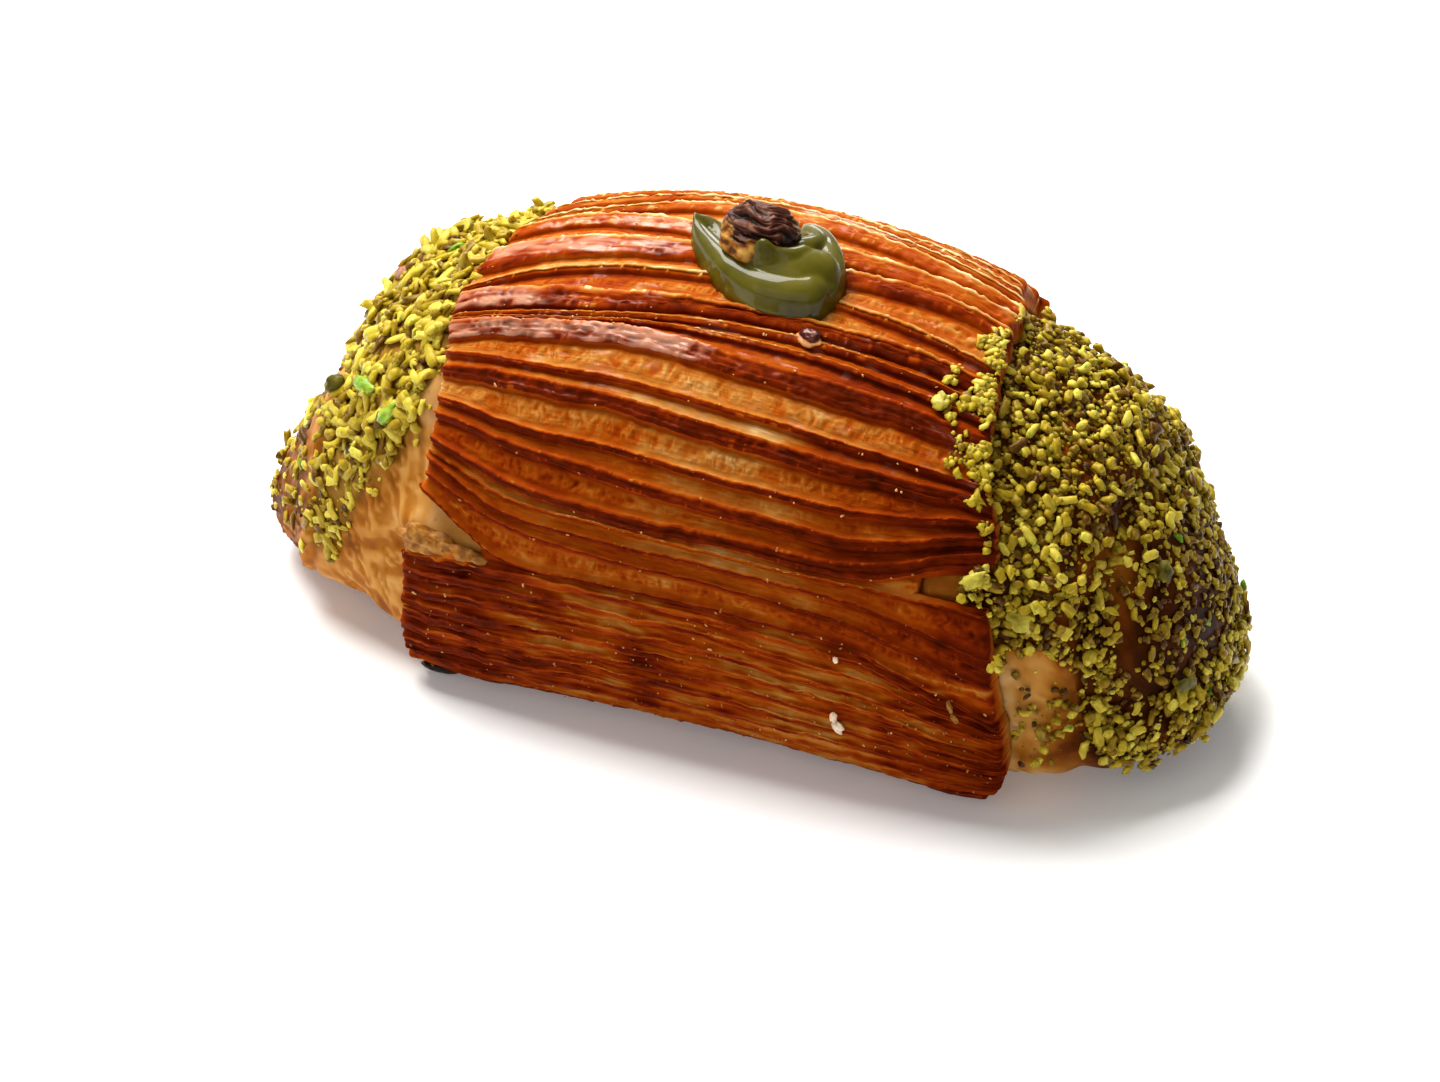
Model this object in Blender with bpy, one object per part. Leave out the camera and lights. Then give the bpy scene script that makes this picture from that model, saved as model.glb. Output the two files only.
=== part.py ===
"""A filled croissant in a wrap of cut lamination, topped with nut cream.

The roll of dough tapers to two horns, which are strewn with chopped pistachio. A sheet of
laminated dough, laid with its cut layers outwards, is wound round the middle: each layer is
a brown ridge that runs along the roll, with a pale recess beside it. The ridges fan together
towards both ends of the sheet, where it splits into an upper and a lower flap. A swirl of
cream and one roasted nut lie on the crown.

+X runs along the roll to the horn with the denser nuts, -Y is the front, +Z is up. The origin
is on the ground below the middle. Sizes are in millimetres, which MM turns to metres.
"""

import math

import bmesh
import bpy
import numpy as np

MM = 0.001
GAP = 0.3  # clearance between neighbouring pieces

# The roll of dough
CROWN_X = 3.0  # where the roll is tallest
ROLL_TOP = 62.0
ROLL_HALF_WIDTH = 34.1
HORN_REACH = (78.0, 72.0)  # from CROWN_X to the left tip and to the right tip
TIP_HEIGHT = 9.0  # of both tips above the ground
TOP_TAPER = ((2.4, 1.3), (2.1, 2.1))  # exponents of the left and the right horn
WIDTH_TAPER = ((2.8, 2.2), (3.2, 2.6))
HORN_CLEARANCE = 0.8  # below the horns
BELLY = 0.40  # height of the widest line, as a share of the whole height
ROUND_TOP = 2.15  # superellipse exponents of the cross-section
ROUND_HORN = 2.8
SQUARE_FOOT = 6.0
COLLAR_AT = (-62.0, 60.0)  # where the outer layer of dough ends on each horn
COLLAR_STEP = 0.07  # share by which the horn is thinner beyond it
COLLAR_FADE = 2.0  # length over which it thins
COLLAR_BEAD = (2.5, 3.0, 0.025)  # its raised edge: distance inwards, spread and height share
UNDER_WRAP = (47.0, 59.0)  # from the sheet's middle: the foot is square, then round
# Along its middle the foot of roll and wrap draws in: how far, about which X, over which half
# length, and up to which height
FOOT_DRAW = (4.1, 9.0, 36.0, 16.0)
ROLL_POINTS = 30  # round the roll's section
HORN_STATIONS = (0.15, 0.8, 2.2, 4.6, 8.0, 11.0, 13.2, 15.2, 18.5, 23.0, 28.0, 33.0)  # from a tip
MIDDLE_STATIONS = (-30.0, -10.0, 12.0, 32.0)

# The wrap
SHEET = 3.4  # thickness round the roll
SHEET_MIDDLE = 8.0  # X of its middle
END_LIFT = (0.2, 0.9)  # how much further its left and right ends stand off the roll
# Behind the crown its left and its right end are shorter: by a length that is reached at one
# over the pace, in girth shares, and lost again between the last two shares
BACK_LAG = ((4.5, 7.0), (13.0, 2.4))
LAG_LOST = (0.5, 0.9)
SOLE = 2.6  # thickness under the roll
FOOT_HEIGHT = 1.6  # height of the wrap's lowest edge line
FOOT_MARGIN = 0.6  # from that line to the lowest ridge
SHEET_STATIONS = (12, 9)  # along the sheet's face and along its inside
STATION_EASE = 0.86  # 1 crowds the stations most towards the sheet's ends
INSIDE_GAP = 0.65  # from the sheet to the roll

# Brown ridges from the crown down the front, each as the recess above it and its own width.
# The first one lies on the crown, so it is given by half its width.
CROWN_RIDGE = 1.6
RIDGES = (
    (1.3, 3.0),
    (2.6, 1.2),
    (3.4, 2.2),
    (0.9, 2.0),
    (1.8, 2.8),
    (4.1, 0.9),
    (1.6, 2.4),
    (3.7, 1.0),
    (2.1, 1.8),
    (2.4, 2.0),
    (2.2, 0.8),
    (1.6, 0.8),
    (2.8, 0.8),
)
GIRTH = 78.5  # from the crown to the foot at the middle of the roll
FINE_FROM = 1.4  # from the last broad ridge to the lower flap's close ridges
FINE_RIDGES = 7
FINE_SHARE = 0.55  # share of each that is brown
RIDGE_RISE = 0.6
FINE_RISE = 0.4
LIP_WIDTH = 0.8  # of a ridge's sloping flank, at most
LIP_SHARE = 0.45  # of a narrow recess that its flank takes

# Lines of the sheet that run along the roll: girth share at the middle, then girth share and
# X at the sheet's left or right end. Ridges fan together towards the ends, and one line ends
# early, where the sheet is split into an upper and a lower flap.
ENDS_LEFT = (
    (0.0, 0.0, -37.5),
    (0.11, 0.15, -38.5),
    (0.26, 0.25, -36.8),
    (0.375, 0.341, -35.8),
    (0.452, 0.40, -34.6),
    (0.545, 0.465, -34.4),
    (0.63, 0.535, -34.8),
    (0.686, 0.577, -35.6),
    (0.693, 0.675, -25.0),
    (0.70, 0.69, -38.0),
    (0.85, 0.84, -38.8),
    (1.0, 1.0, -37.8),
)
ENDS_RIGHT = (
    (0.0, 0.0, 40.5),
    (0.11, 0.09, 42.5),
    (0.29, 0.273, 46.0),
    (0.375, 0.34, 48.5),
    (0.452, 0.38, 49.5),
    (0.571, 0.461, 50.5),
    (0.577, 0.54, 41.0),
    (0.583, 0.558, 50.4),
    (0.63, 0.665, 53.5),
    (0.675, 0.745, 54.3),
    (0.85, 0.88, 54.5),
    (1.0, 1.0, 51.5),
)
SPLITS = (0.693, 0.577)  # the lines that end early, at the left and at the right
FAN_POWER = 2.5
SOLE_ANGLES = (-52.0, -75.0)  # lines under the roll, in degrees below the belly

# The cream: each rope of it as (x, y, height above the wrap, radius) along its way
CREAM_BASE = (6.2, -4.4, 9.0, 9.0, 2.4)  # x, y, half width, half depth, height
CREAM_FRONT = (
    (-5.2, -4.0, 3.9, 0.7),
    (-3.6, -5.6, 2.2, 1.4),
    (-0.8, -9.2, 0.9, 2.0),
    (3.4, -11.8, 0.8, 3.0),
    (8.2, -11.6, 0.7, 4.0),
    (11.6, -9.4, 0.6, 4.3),
)
CREAM_RIGHT = (
    (13.0, -11.4, 0.4, 3.2),
    (14.6, -7.4, 0.8, 3.4),
    (14.4, -2.6, 1.2, 3.3),
    (11.6, 1.6, 1.2, 3.0),
    (7.2, 3.2, 0.8, 2.5),
)
CREAM_RINGS = 9
CREAM_SPOKES = 34
CREAM_EYE = 0.06  # share of the way out at which its rings start
CREAM_FLOOR = 2.0  # below the wrap's face, before the cream is cut clear of it
CREAM_RIM = 0.1  # least height of its edge

# The nut
NUT_CENTRE = (5.6, -6.0, 70.6)
NUT_RADII = (5.9, 4.7, 4.0)

# Chopped pistachio
# Each strewn stretch of a horn: crumbs, first and last X, the sine of the angle below which
# the dough is bare, and the seed of its draws
HORN_STREWN = (
    (30, -42.5, -72.5, 0.12, 11),
    (54, 58.5, 73.0, -0.35, 12),
    (18, 50.5, 60.0, 0.55, 13),
)
CRUMB_RADIUS = (0.95, 1.7)
CRUMB_STRETCH = (1.25, 0.95, 0.85)
CRUMB_LIFT = 0.36  # of a crumb's middle above the dough, as a share of its radius
WRAP_CRUMBS = 12
WRAP_CRUMB_RADIUS = (0.9, 1.4)
WRAP_CRUMB_SHARES = (0.12, 0.54)  # girth shares between which they lie
WRAP_CRUMB_REACH = (4.0, 9.0)  # inwards from the sheet's right end
GOLDEN = (math.sqrt(5) - 1) / 2

# A scorched seed on the wrap: X, girth share, radius, and lift as a share of the radius
SEED = (17.4, 0.212, 1.9, 0.55)

COLOURS = {
    "dough_roll": (0.50, 0.27, 0.10, 0.55, 0.0),
    "laminated_wrap": (0.36, 0.11, 0.025, 0.35, 0.0),
    "pistachio_cream": (0.16, 0.19, 0.035, 0.22, 0.0),
    "roasted_nut": (0.16, 0.07, 0.04, 0.55, 0.0),
}


# ---------------------------------------------------------------- scene and mesh helpers


def clear_scene():
    for obj in list(bpy.data.objects):
        bpy.data.objects.remove(obj)


def collection(name, shown=True):
    made = bpy.data.collections.new(name)
    made.hide_render = not shown
    bpy.context.scene.collection.children.link(made)
    return made


def material(name):
    red, green, blue, roughness, metallic = COLOURS[name]
    made = bpy.data.materials.new(name)
    made.use_nodes = True
    shader = made.node_tree.nodes["Principled BSDF"]
    shader.inputs["Base Color"].default_value = (red, green, blue, 1.0)
    shader.inputs["Roughness"].default_value = roughness
    shader.inputs["Metallic"].default_value = metallic
    return made


def loft(name, rings, group, ring_shaped=False):
    """A closed mesh through rings of equal length, an array of (ring, point, xyz) in mm. Its
    ends are fans round their middles, or else its last ring joins the first."""
    around = rings.shape[1]
    mesh = bmesh.new()
    points = [[mesh.verts.new(p * MM) for p in ring] for ring in rings]
    pairs = list(zip(points, points[1:]))
    if ring_shaped:
        pairs.append((points[-1], points[0]))
    else:
        hubs = [mesh.verts.new(rings[end].mean(axis=0) * MM) for end in (0, -1)]
    for k in range(around):
        after = (k + 1) % around
        for one, two in pairs:
            mesh.faces.new((one[k], one[after], two[after], two[k]))
        if not ring_shaped:
            mesh.faces.new((hubs[0], points[0][after], points[0][k]))
            mesh.faces.new((hubs[1], points[-1][k], points[-1][after]))
    bmesh.ops.recalc_face_normals(mesh, faces=mesh.faces)
    return finish_mesh(name, mesh, group)


def finish_mesh(name, mesh, group):
    data = bpy.data.meshes.new(name)
    mesh.to_mesh(data)
    mesh.free()
    made = bpy.data.objects.new(name, data)
    group.objects.link(made)
    return made


def apply_modifiers(obj):
    graph = bpy.context.evaluated_depsgraph_get()
    data = bpy.data.meshes.new_from_object(obj.evaluated_get(graph))
    obj.modifiers.clear()
    obj.data = data


def cut(obj, cutter):
    """Takes the cutter's space out of obj, then removes the cutter."""
    modifier = obj.modifiers.new("cut", "BOOLEAN")
    modifier.operation = "DIFFERENCE"
    modifier.solver = "EXACT"
    modifier.object = cutter
    apply_modifiers(obj)
    bpy.data.objects.remove(cutter)


def join(obj, group):
    """Fuses every object of a collection to obj, then removes them."""
    modifier = obj.modifiers.new("join", "BOOLEAN")
    modifier.operation = "UNION"
    modifier.solver = "MANIFOLD"
    modifier.operand_type = "COLLECTION"
    modifier.collection = group
    apply_modifiers(obj)
    for piece in list(group.objects):
        bpy.data.objects.remove(piece)


def keep_largest(obj):
    """Drops loose scraps, so that one closed body is left."""
    mesh = bmesh.new()
    mesh.from_mesh(obj.data)
    left, bodies = set(mesh.verts), []
    while left:
        stack, body = [left.pop()], []
        while stack:
            vert = stack.pop()
            body.append(vert)
            near = {e.other_vert(vert) for e in vert.link_edges} & left
            left -= near
            stack.extend(near)
        bodies.append(body)
    bodies.sort(key=len)
    bmesh.ops.delete(mesh, geom=[v for b in bodies[:-1] for v in b], context="VERTS")
    mesh.to_mesh(obj.data)
    mesh.free()


# ---------------------------------------------------------------- the roll's form


def smooth(t):
    t = np.clip(t, 0.0, 1.0)
    return t * t * (3.0 - 2.0 * t)


def taper(x, exponents):
    """1 at the crown, 0 at the tips: (1 - t^a)^(1/b), with t the share of the way to the tip."""
    left, right = exponents
    t_left = np.clip((CROWN_X - x) / HORN_REACH[0], 0.0, 1.0)
    t_right = np.clip((x - CROWN_X) / HORN_REACH[1], 0.0, 1.0)
    on_left = (1.0 - t_left ** left[0]) ** (1.0 / left[1])
    on_right = (1.0 - t_right ** right[0]) ** (1.0 / right[1])
    return np.where(x < CROWN_X, on_left, on_right)


def collar(x):
    """Scale of the section: it drops where the outer layer of dough ends on a horn."""
    inwards, spread, height = COLLAR_BEAD
    size = 1.0
    for outwards in (COLLAR_AT[0] - x, x - COLLAR_AT[1]):
        size = size - COLLAR_STEP * smooth(outwards / COLLAR_FADE)
        size = size + height * np.exp(-(((outwards + inwards) / spread) ** 2))
    return size


def section_sizes(x):
    """Half width, top and bottom of the roll at x, and the exponent of its lower half."""
    half = ROLL_HALF_WIDTH * taper(x, WIDTH_TAPER) * collar(x)
    top = TIP_HEIGHT + (ROLL_TOP - TIP_HEIGHT) * taper(x, TOP_TAPER) * collar(x)
    square, rounded = UNDER_WRAP
    under_wrap = 1.0 - smooth((abs(x - SHEET_MIDDLE) - square) / (rounded - square))
    closed = taper(x, ((9.0, 2.0), (9.0, 2.0)))
    low = SOLE * under_wrap + HORN_CLEARANCE * (1.0 - under_wrap)
    bottom = TIP_HEIGHT + (low - TIP_HEIGHT) * closed
    lower = ROUND_HORN + (SQUARE_FOOT - ROUND_HORN) * under_wrap
    return half, top, bottom, lower


def section_point(sizes, angle, grow=0.0, grow_down=None):
    """(y, z) on the roll's cross-section at an angle, 0 at the front belly and 90 at the crown."""
    half, top, bottom, lower = sizes
    grow_down = grow if grow_down is None else grow_down
    middle = bottom + BELLY * (top - bottom)
    across, along = np.cos(angle), np.sin(angle)
    power = np.where(along >= 0, ROUND_TOP, lower)
    size = (np.abs(across) ** power + np.abs(along) ** power) ** (-1.0 / power)
    reach = np.where(along >= 0, top + grow - middle, middle - bottom + grow_down)
    return -(half + grow) * across * size, middle + reach * along * size


def drawn_in(x, y, z):
    """y after the foot has drawn in: by a share that falls from the middle along X, and from
    the table upwards."""
    most, middle, half_length, height = FOOT_DRAW
    along = np.clip(1.0 - ((x - middle) / half_length) ** 2, 0.0, 1.0)
    low = np.clip(1.0 - z / height, 0.0, 1.0) ** 1.5
    return y * (1.0 - most / ROLL_HALF_WIDTH * along * low)


def roll_rings(stations):
    angles = np.linspace(0.0, 2.0 * math.pi, ROLL_POINTS, endpoint=False)
    rings = []
    for x in stations:
        y, z = section_point(section_sizes(x), angles)
        rings.append(np.stack([np.full(ROLL_POINTS, x), drawn_in(x, y, z), z], axis=-1))
    return np.array(rings)


# ---------------------------------------------------------------- the wrap's form


def sheet_at(x):
    """Distance of the sheet's face from the roll: a little more towards the sheet's ends."""
    lift = END_LIFT[0] if x < SHEET_MIDDLE else END_LIFT[1]
    return SHEET + lift * smooth((abs(x - SHEET_MIDDLE) - 28.0) / 18.0)


def girth_line(x, samples=500):
    """The section at x from the crown down the front to the foot: girth share, angle, and the
    y, z and outward normal of the wrap's face."""
    angles = np.linspace(math.pi / 2, -math.pi / 2, samples)
    y, z = section_point(section_sizes(x), angles, sheet_at(x), SOLE + 0.3)
    foot = np.argmax((z < FOOT_HEIGHT) & (angles < 0.0)) + 1
    angles, y, z = angles[:foot], y[:foot], z[:foot]
    run = np.concatenate([[0.0], np.cumsum(np.hypot(np.diff(y), np.diff(z)))])
    dy, dz = np.gradient(y), np.gradient(z)
    length = np.hypot(dy, dz) + 1e-9
    return run / run[-1], angles, y, z, dz / length, -dy / length


def sheet_line(share, along, behind=False):
    """X and girth share, at the station along (-1 left end, 0 middle, 1 right end), of the line
    that lies at share in the middle. The girth share moves with a high power of the way, and
    behind the crown no line ends early."""
    ends = []
    for table in (ENDS_LEFT, ENDS_RIGHT):
        kept = [row for row in table if not behind or row[0] not in SPLITS]
        middle, end_share, end_x = zip(*kept)
        ends.append((np.interp(share, middle, end_share), np.interp(share, middle, end_x)))
    (left_share, left_x), (right_share, right_x) = ends
    end_share = left_share if along < 0 else right_share
    x = (left_x + right_x) / 2 + (right_x - left_x) / 2 * along
    here = float(share + (end_share - share) * abs(along) ** FAN_POWER)
    if behind:
        lag, pace = BACK_LAG[0] if along < 0 else BACK_LAG[1]
        lost = smooth((here - LAG_LOST[0]) / (LAG_LOST[1] - LAG_LOST[0]))
        x -= lag * smooth(pace * here) * (1.0 - lost) * along * abs(along)
    return float(x), here


def wrap_rows():
    """Girth share at the middle and relief of each line of points, from the crown to the foot:
    four for a broad ridge, two for a fine one, and one at each split."""
    rows, down = [(0.0, RIDGE_RISE)], CROWN_RIDGE
    for recess, width in RIDGES:
        lip = min(LIP_WIDTH, LIP_SHARE * recess)
        top = down + recess
        rows += [(down, RIDGE_RISE), (down + lip, -RIDGE_RISE)]
        rows += [(top - lip, -RIDGE_RISE), (top, RIDGE_RISE)]
        down = top + width
    rows += [(down, RIDGE_RISE), (down + LIP_WIDTH, -RIDGE_RISE)]
    first = down + FINE_FROM
    pitch = (GIRTH - FOOT_MARGIN - first) / FINE_RIDGES
    for k in range(FINE_RIDGES):
        top = first + k * pitch
        rows += [(top, FINE_RISE), (top + FINE_SHARE * pitch, -FINE_RISE)]
    rows.append((GIRTH, 0.0))
    rows += [(share * GIRTH, -RIDGE_RISE) for share in SPLITS]
    return sorted((down / GIRTH, relief) for down, relief in rows)


def wrap_half(along, grow, inside, behind):
    """Half a ring of the sheet's face or inside, from the crown to the foot and on to the
    middle of the sole. It is worked out for the front, and mirrored where it lies behind."""
    points = []
    for share, relief in wrap_rows():
        x, here = sheet_line(share, along, behind)
        shares, *curves = girth_line(x)
        angle, y, z, ny, nz = (float(np.interp(here, shares, c)) for c in curves)
        if inside:
            y, z = section_point(section_sizes(x), np.array(angle), INSIDE_GAP - grow)
            points.append((x, float(y), float(z)))
        else:
            points.append((x, y + (relief + grow) * ny, z + (relief + grow) * nz))
    x = points[-1][0]
    for angle in np.radians(SOLE_ANGLES):
        grown = INSIDE_GAP - grow if inside else sheet_at(x)
        y, z = section_point(section_sizes(x), angle, grown)
        points.append((x, float(y), float(z) if inside else -grow))
    points = np.array(points)
    points[:, 1] = drawn_in(points[:, 0], points[:, 1], points[:, 2])
    return points * (1.0, -1.0 if behind else 1.0, 1.0)


def wrap_solid(name, group, grow=0.0):
    """The sheet as a sleeve: rings along its face, then rings back along its inside."""
    rings = []
    for count, inside in zip(SHEET_STATIONS, (False, True)):
        stations = np.sin(np.linspace(-math.pi / 2, math.pi / 2, count) * STATION_EASE)
        stations = stations / stations[-1]
        for along in stations[::-1] if inside else stations:
            front = wrap_half(along, grow, inside, behind=False)
            back = wrap_half(along, grow, inside, behind=True)
            rings.append(np.concatenate([front, back[:0:-1]]))
    return loft(name, np.array(rings), group, ring_shaped=True)


def wrap_surface(x, share):
    """A point of the wrap's face at x and a girth share, and its outward normal."""
    shares, _, *curves = girth_line(x)
    y, z, ny, nz = (float(np.interp(share, shares, c)) for c in curves)
    return np.array([x, y, z]), np.array([0.0, ny, nz])


# ---------------------------------------------------------------- crumbs


def crumb(centre, radius, turn, group):
    """A chopped nut: a ball of twenty faces, stretched and turned by a rule."""
    mesh = bmesh.new()
    bmesh.ops.create_icosphere(mesh, subdivisions=1, radius=1.0)
    stretch = np.array(CRUMB_STRETCH) * radius
    c, s = math.cos(turn), math.sin(turn)
    spin = np.array([[c, -s, 0], [s, c, 0], [0, 0, 1]])
    tilt = np.array([[1, 0, 0], [0, c, -s], [0, s, c]])
    for vert in mesh.verts:
        vert.co = ((tilt @ spin @ (np.array(vert.co) * stretch)) + centre) * MM
    return finish_mesh("crumb", mesh, group)


def horn_crumbs(count, first, last, bare_below, seed, group):
    """Crumbs on a horn between two stations. Their angles follow the golden ratio, which
    spreads them evenly, and none lies below the line where the dough is bare."""
    rng = np.random.default_rng(seed)
    made = k = 0
    while made < count and k < 6 * count:
        share = (k + 0.5) / (1.35 * count) % 1.0
        angle = 2.0 * math.pi * ((k * GOLDEN) % 1.0)
        k += 1
        x = first + (last - first) * share + rng.uniform(-0.8, 0.8)
        if math.sin(angle) < bare_below or abs(x) > abs(last):
            continue
        y, z = section_point(section_sizes(x), np.array(angle))
        radius = CRUMB_RADIUS[0] + (CRUMB_RADIUS[1] - CRUMB_RADIUS[0]) * rng.random() ** 1.6
        out = np.array([0.0, math.copysign(abs(math.cos(angle)), y), math.sin(angle)])
        centre = np.array([x, float(y), float(z)]) + out * radius * CRUMB_LIFT
        crumb(centre, radius, 2.0 * math.pi * rng.random(), group)
        made += 1


def wrap_crumbs(group):
    """Crumbs spilt over the wrap's right edge, on both sides of the crown."""
    rng = np.random.default_rng(5)
    first, last = WRAP_CRUMB_SHARES
    for k in range(WRAP_CRUMBS):
        share = first + (last - first) * (k + 0.5) / WRAP_CRUMBS
        edge, _ = sheet_line(share, 1.0)
        point, out = wrap_surface(edge - rng.uniform(*WRAP_CRUMB_REACH), share)
        if k % 4 == 3:
            point, out = point * (1, -1, 1), out * (1, -1, 1)
        radius = rng.uniform(*WRAP_CRUMB_RADIUS)
        crumb(point + out * radius * CRUMB_LIFT, radius, 2.0 * math.pi * rng.random(), group)


# ---------------------------------------------------------------- the pieces


def make_roll(part, scraps):
    left, right = CROWN_X - HORN_REACH[0], CROWN_X + HORN_REACH[1]
    ends = np.array(HORN_STATIONS)
    stations = np.concatenate([left + ends, MIDDLE_STATIONS, (right - ends)[::-1]])
    roll = loft("dough_roll", roll_rings(stations), part)
    for strewn in HORN_STREWN:
        horn_crumbs(*strewn, scraps)
    join(roll, scraps)
    keep_largest(roll)
    return roll


def make_wrap(part, scraps):
    wrap = wrap_solid("laminated_wrap", part)
    x, share, radius, lift = SEED
    point, out = wrap_surface(x, share)
    crumb(point + out * radius * lift, radius, 0.0, scraps)
    wrap_crumbs(scraps)
    join(wrap, scraps)
    keep_largest(wrap)
    return wrap


def crown_height(x, y):
    """Height of the wrap's face above (x, y), near the crown."""
    half, top, bottom, _ = section_sizes(x)
    middle = bottom + BELLY * (top - bottom)
    side = np.clip(np.abs(y) / (half + SHEET), 0.0, 1.0)
    return middle + (top + SHEET - middle) * (1 - side**ROUND_TOP) ** (1 / ROUND_TOP)


def rope_height(way, x, y):
    """Height above the wrap of a rope of cream at (x, y): the round back of the nearest
    stretch of the rope, whose radius and lift change along its way."""
    best = np.full(np.shape(x), -1.0)
    way = np.array(way)
    steps = np.linspace(0, len(way) - 1, 12 * len(way))
    fine = np.stack([np.interp(steps, range(len(way)), c) for c in way.T], axis=-1)
    for px, py, lift, radius in fine:
        room = radius**2 - (x - px) ** 2 - (y - py) ** 2
        best = np.maximum(best, lift + np.sqrt(np.maximum(room, 0.0)) - (room <= 0) * 9.0)
    return best


def cream_height(x, y):
    bx, by, half_width, half_depth, height = CREAM_BASE
    away = ((x - bx) / half_width) ** 2 + ((y - by) / half_depth) ** 2
    mound = height * np.sqrt(np.maximum(1.0 - away, 0.0)) - (away > 1.0)
    front = rope_height(CREAM_FRONT, x, y)
    return np.maximum(mound, np.maximum(front, rope_height(CREAM_RIGHT, x, y)))


def cream_edge(angle):
    """How far the cream reaches from its centre at an angle, found by stepping outwards."""
    reach = np.linspace(1.0, 20.0, 191)
    x = CREAM_BASE[0] + reach * math.cos(angle)
    y = CREAM_BASE[1] + reach * math.sin(angle)
    return reach[cream_height(x, y) > CREAM_RIM].max()


def make_cream(part, cutters):
    """The cream's face over a fan of spokes, closed by a floor inside the wrap, then cut clear
    of the wrap and of the nut."""
    angles = np.linspace(0.0, 2.0 * math.pi, CREAM_SPOKES, endpoint=False)
    reach = np.array([cream_edge(a) for a in angles])
    face = [(share, True) for share in np.linspace(CREAM_EYE, 1.0, CREAM_RINGS)]
    rings = []
    for share, on_face in [*face, (1.0, False), (CREAM_EYE, False)]:
        x = CREAM_BASE[0] + share * reach * np.cos(angles)
        y = CREAM_BASE[1] + share * reach * np.sin(angles)
        lift = np.maximum(cream_height(x, y), CREAM_RIM) + RIDGE_RISE if on_face else -CREAM_FLOOR
        rings.append(np.stack([x, y, crown_height(x, y) + lift], axis=-1))
    cream = loft("pistachio_cream", np.array(rings), part)
    cut(cream, wrap_solid("wrap_space", cutters, GAP))
    cut(cream, nut_solid("nut_space", cutters, GAP))
    keep_largest(cream)
    return cream


def nut_solid(name, group, grow=0.0):
    """A knobbly kernel: a ball whose radius swells in a few lobes."""
    mesh = bmesh.new()
    bmesh.ops.create_icosphere(mesh, subdivisions=3, radius=1.0)
    for vert in mesh.verts:
        way = np.array(vert.co)
        lobes = 0.10 * math.sin(3.1 * way[0] + 1.0) * math.cos(2.7 * way[1] - 0.4)
        lobes += 0.06 * math.sin(6.3 * way[2] + 4.0 * way[0])
        vert.co = (way * (np.array(NUT_RADII) * (1.0 + lobes) + grow) + NUT_CENTRE) * MM
    return finish_mesh(name, mesh, group)


def main():
    clear_scene()
    part = collection("wrapped_croissant")
    cutters = collection("cutters", shown=False)
    scraps = collection("crumbs_to_join", shown=False)
    pieces = [make_roll(part, scraps), make_wrap(part, scraps)]
    pieces += [make_cream(part, cutters), nut_solid("roasted_nut", part)]
    for piece in pieces:
        piece.data.materials.clear()
        piece.data.materials.append(material(piece.name))
        print(piece.name, sum(len(p.vertices) - 2 for p in piece.data.polygons))


main()
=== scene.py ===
"""The looks of a filled, ribbed laminated pastry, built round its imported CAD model.

A roll of dough with two horns is wrapped in a sheet of cut lamination, strewn with chopped
pistachio at both ends, and topped with a swirl of pistachio cream and one roasted nut. Sizes
are in millimetres, which MM turns to metres. +X is the horn with the denser nuts, -Y the front.
"""

import functools
import math

import bpy
import numpy as np
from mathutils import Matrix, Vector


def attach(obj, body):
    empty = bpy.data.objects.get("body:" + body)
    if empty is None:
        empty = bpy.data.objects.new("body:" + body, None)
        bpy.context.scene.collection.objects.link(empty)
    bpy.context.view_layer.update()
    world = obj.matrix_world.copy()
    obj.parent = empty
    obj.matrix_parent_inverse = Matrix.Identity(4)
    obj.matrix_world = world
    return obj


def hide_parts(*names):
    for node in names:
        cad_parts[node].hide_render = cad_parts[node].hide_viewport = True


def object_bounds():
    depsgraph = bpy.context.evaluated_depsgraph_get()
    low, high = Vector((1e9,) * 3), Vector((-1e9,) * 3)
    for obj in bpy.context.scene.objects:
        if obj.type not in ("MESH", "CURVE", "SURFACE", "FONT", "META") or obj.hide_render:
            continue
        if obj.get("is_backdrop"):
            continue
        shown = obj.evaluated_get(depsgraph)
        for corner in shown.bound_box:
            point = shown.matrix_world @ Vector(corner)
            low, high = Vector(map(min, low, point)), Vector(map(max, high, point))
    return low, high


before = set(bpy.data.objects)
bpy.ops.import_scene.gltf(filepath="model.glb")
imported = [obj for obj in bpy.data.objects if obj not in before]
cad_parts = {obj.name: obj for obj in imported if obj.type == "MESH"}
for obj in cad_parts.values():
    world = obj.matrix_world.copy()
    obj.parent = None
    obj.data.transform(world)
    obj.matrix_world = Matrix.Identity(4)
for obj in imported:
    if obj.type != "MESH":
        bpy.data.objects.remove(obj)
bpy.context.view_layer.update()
MM = 0.001  # metres

# ---------------------------------------------------------------- camera, floor and light
# The pastry lies on a plain white light table under soft studio light: softboxes above and
# behind it light the crown, and a weak one in front and the table's glow lift the shadows.

VIEW_AZIMUTH = math.radians(24.0)
VIEW_ELEVATION = math.radians(32.0)
CAMERA_AWAY = 800.0
CAMERA_LENS = 137.25
AIM_HEIGHT = 30.0
AIM_RIGHT, AIM_UP = -3.2, -13.3  # where the picture's middle lies, from the aim
FLOOR_SIZE = 8.0
FLOOR_WHITE = 0.93
FLOOR_GLOW = 0.14

view_back = np.array(
    [
        math.sin(VIEW_AZIMUTH) * math.cos(VIEW_ELEVATION),
        -math.cos(VIEW_AZIMUTH) * math.cos(VIEW_ELEVATION),
        math.sin(VIEW_ELEVATION),
    ]
)
view_right = np.array([math.cos(VIEW_AZIMUTH), math.sin(VIEW_AZIMUTH), 0.0])
view_up = np.cross(view_back, view_right)


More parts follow.
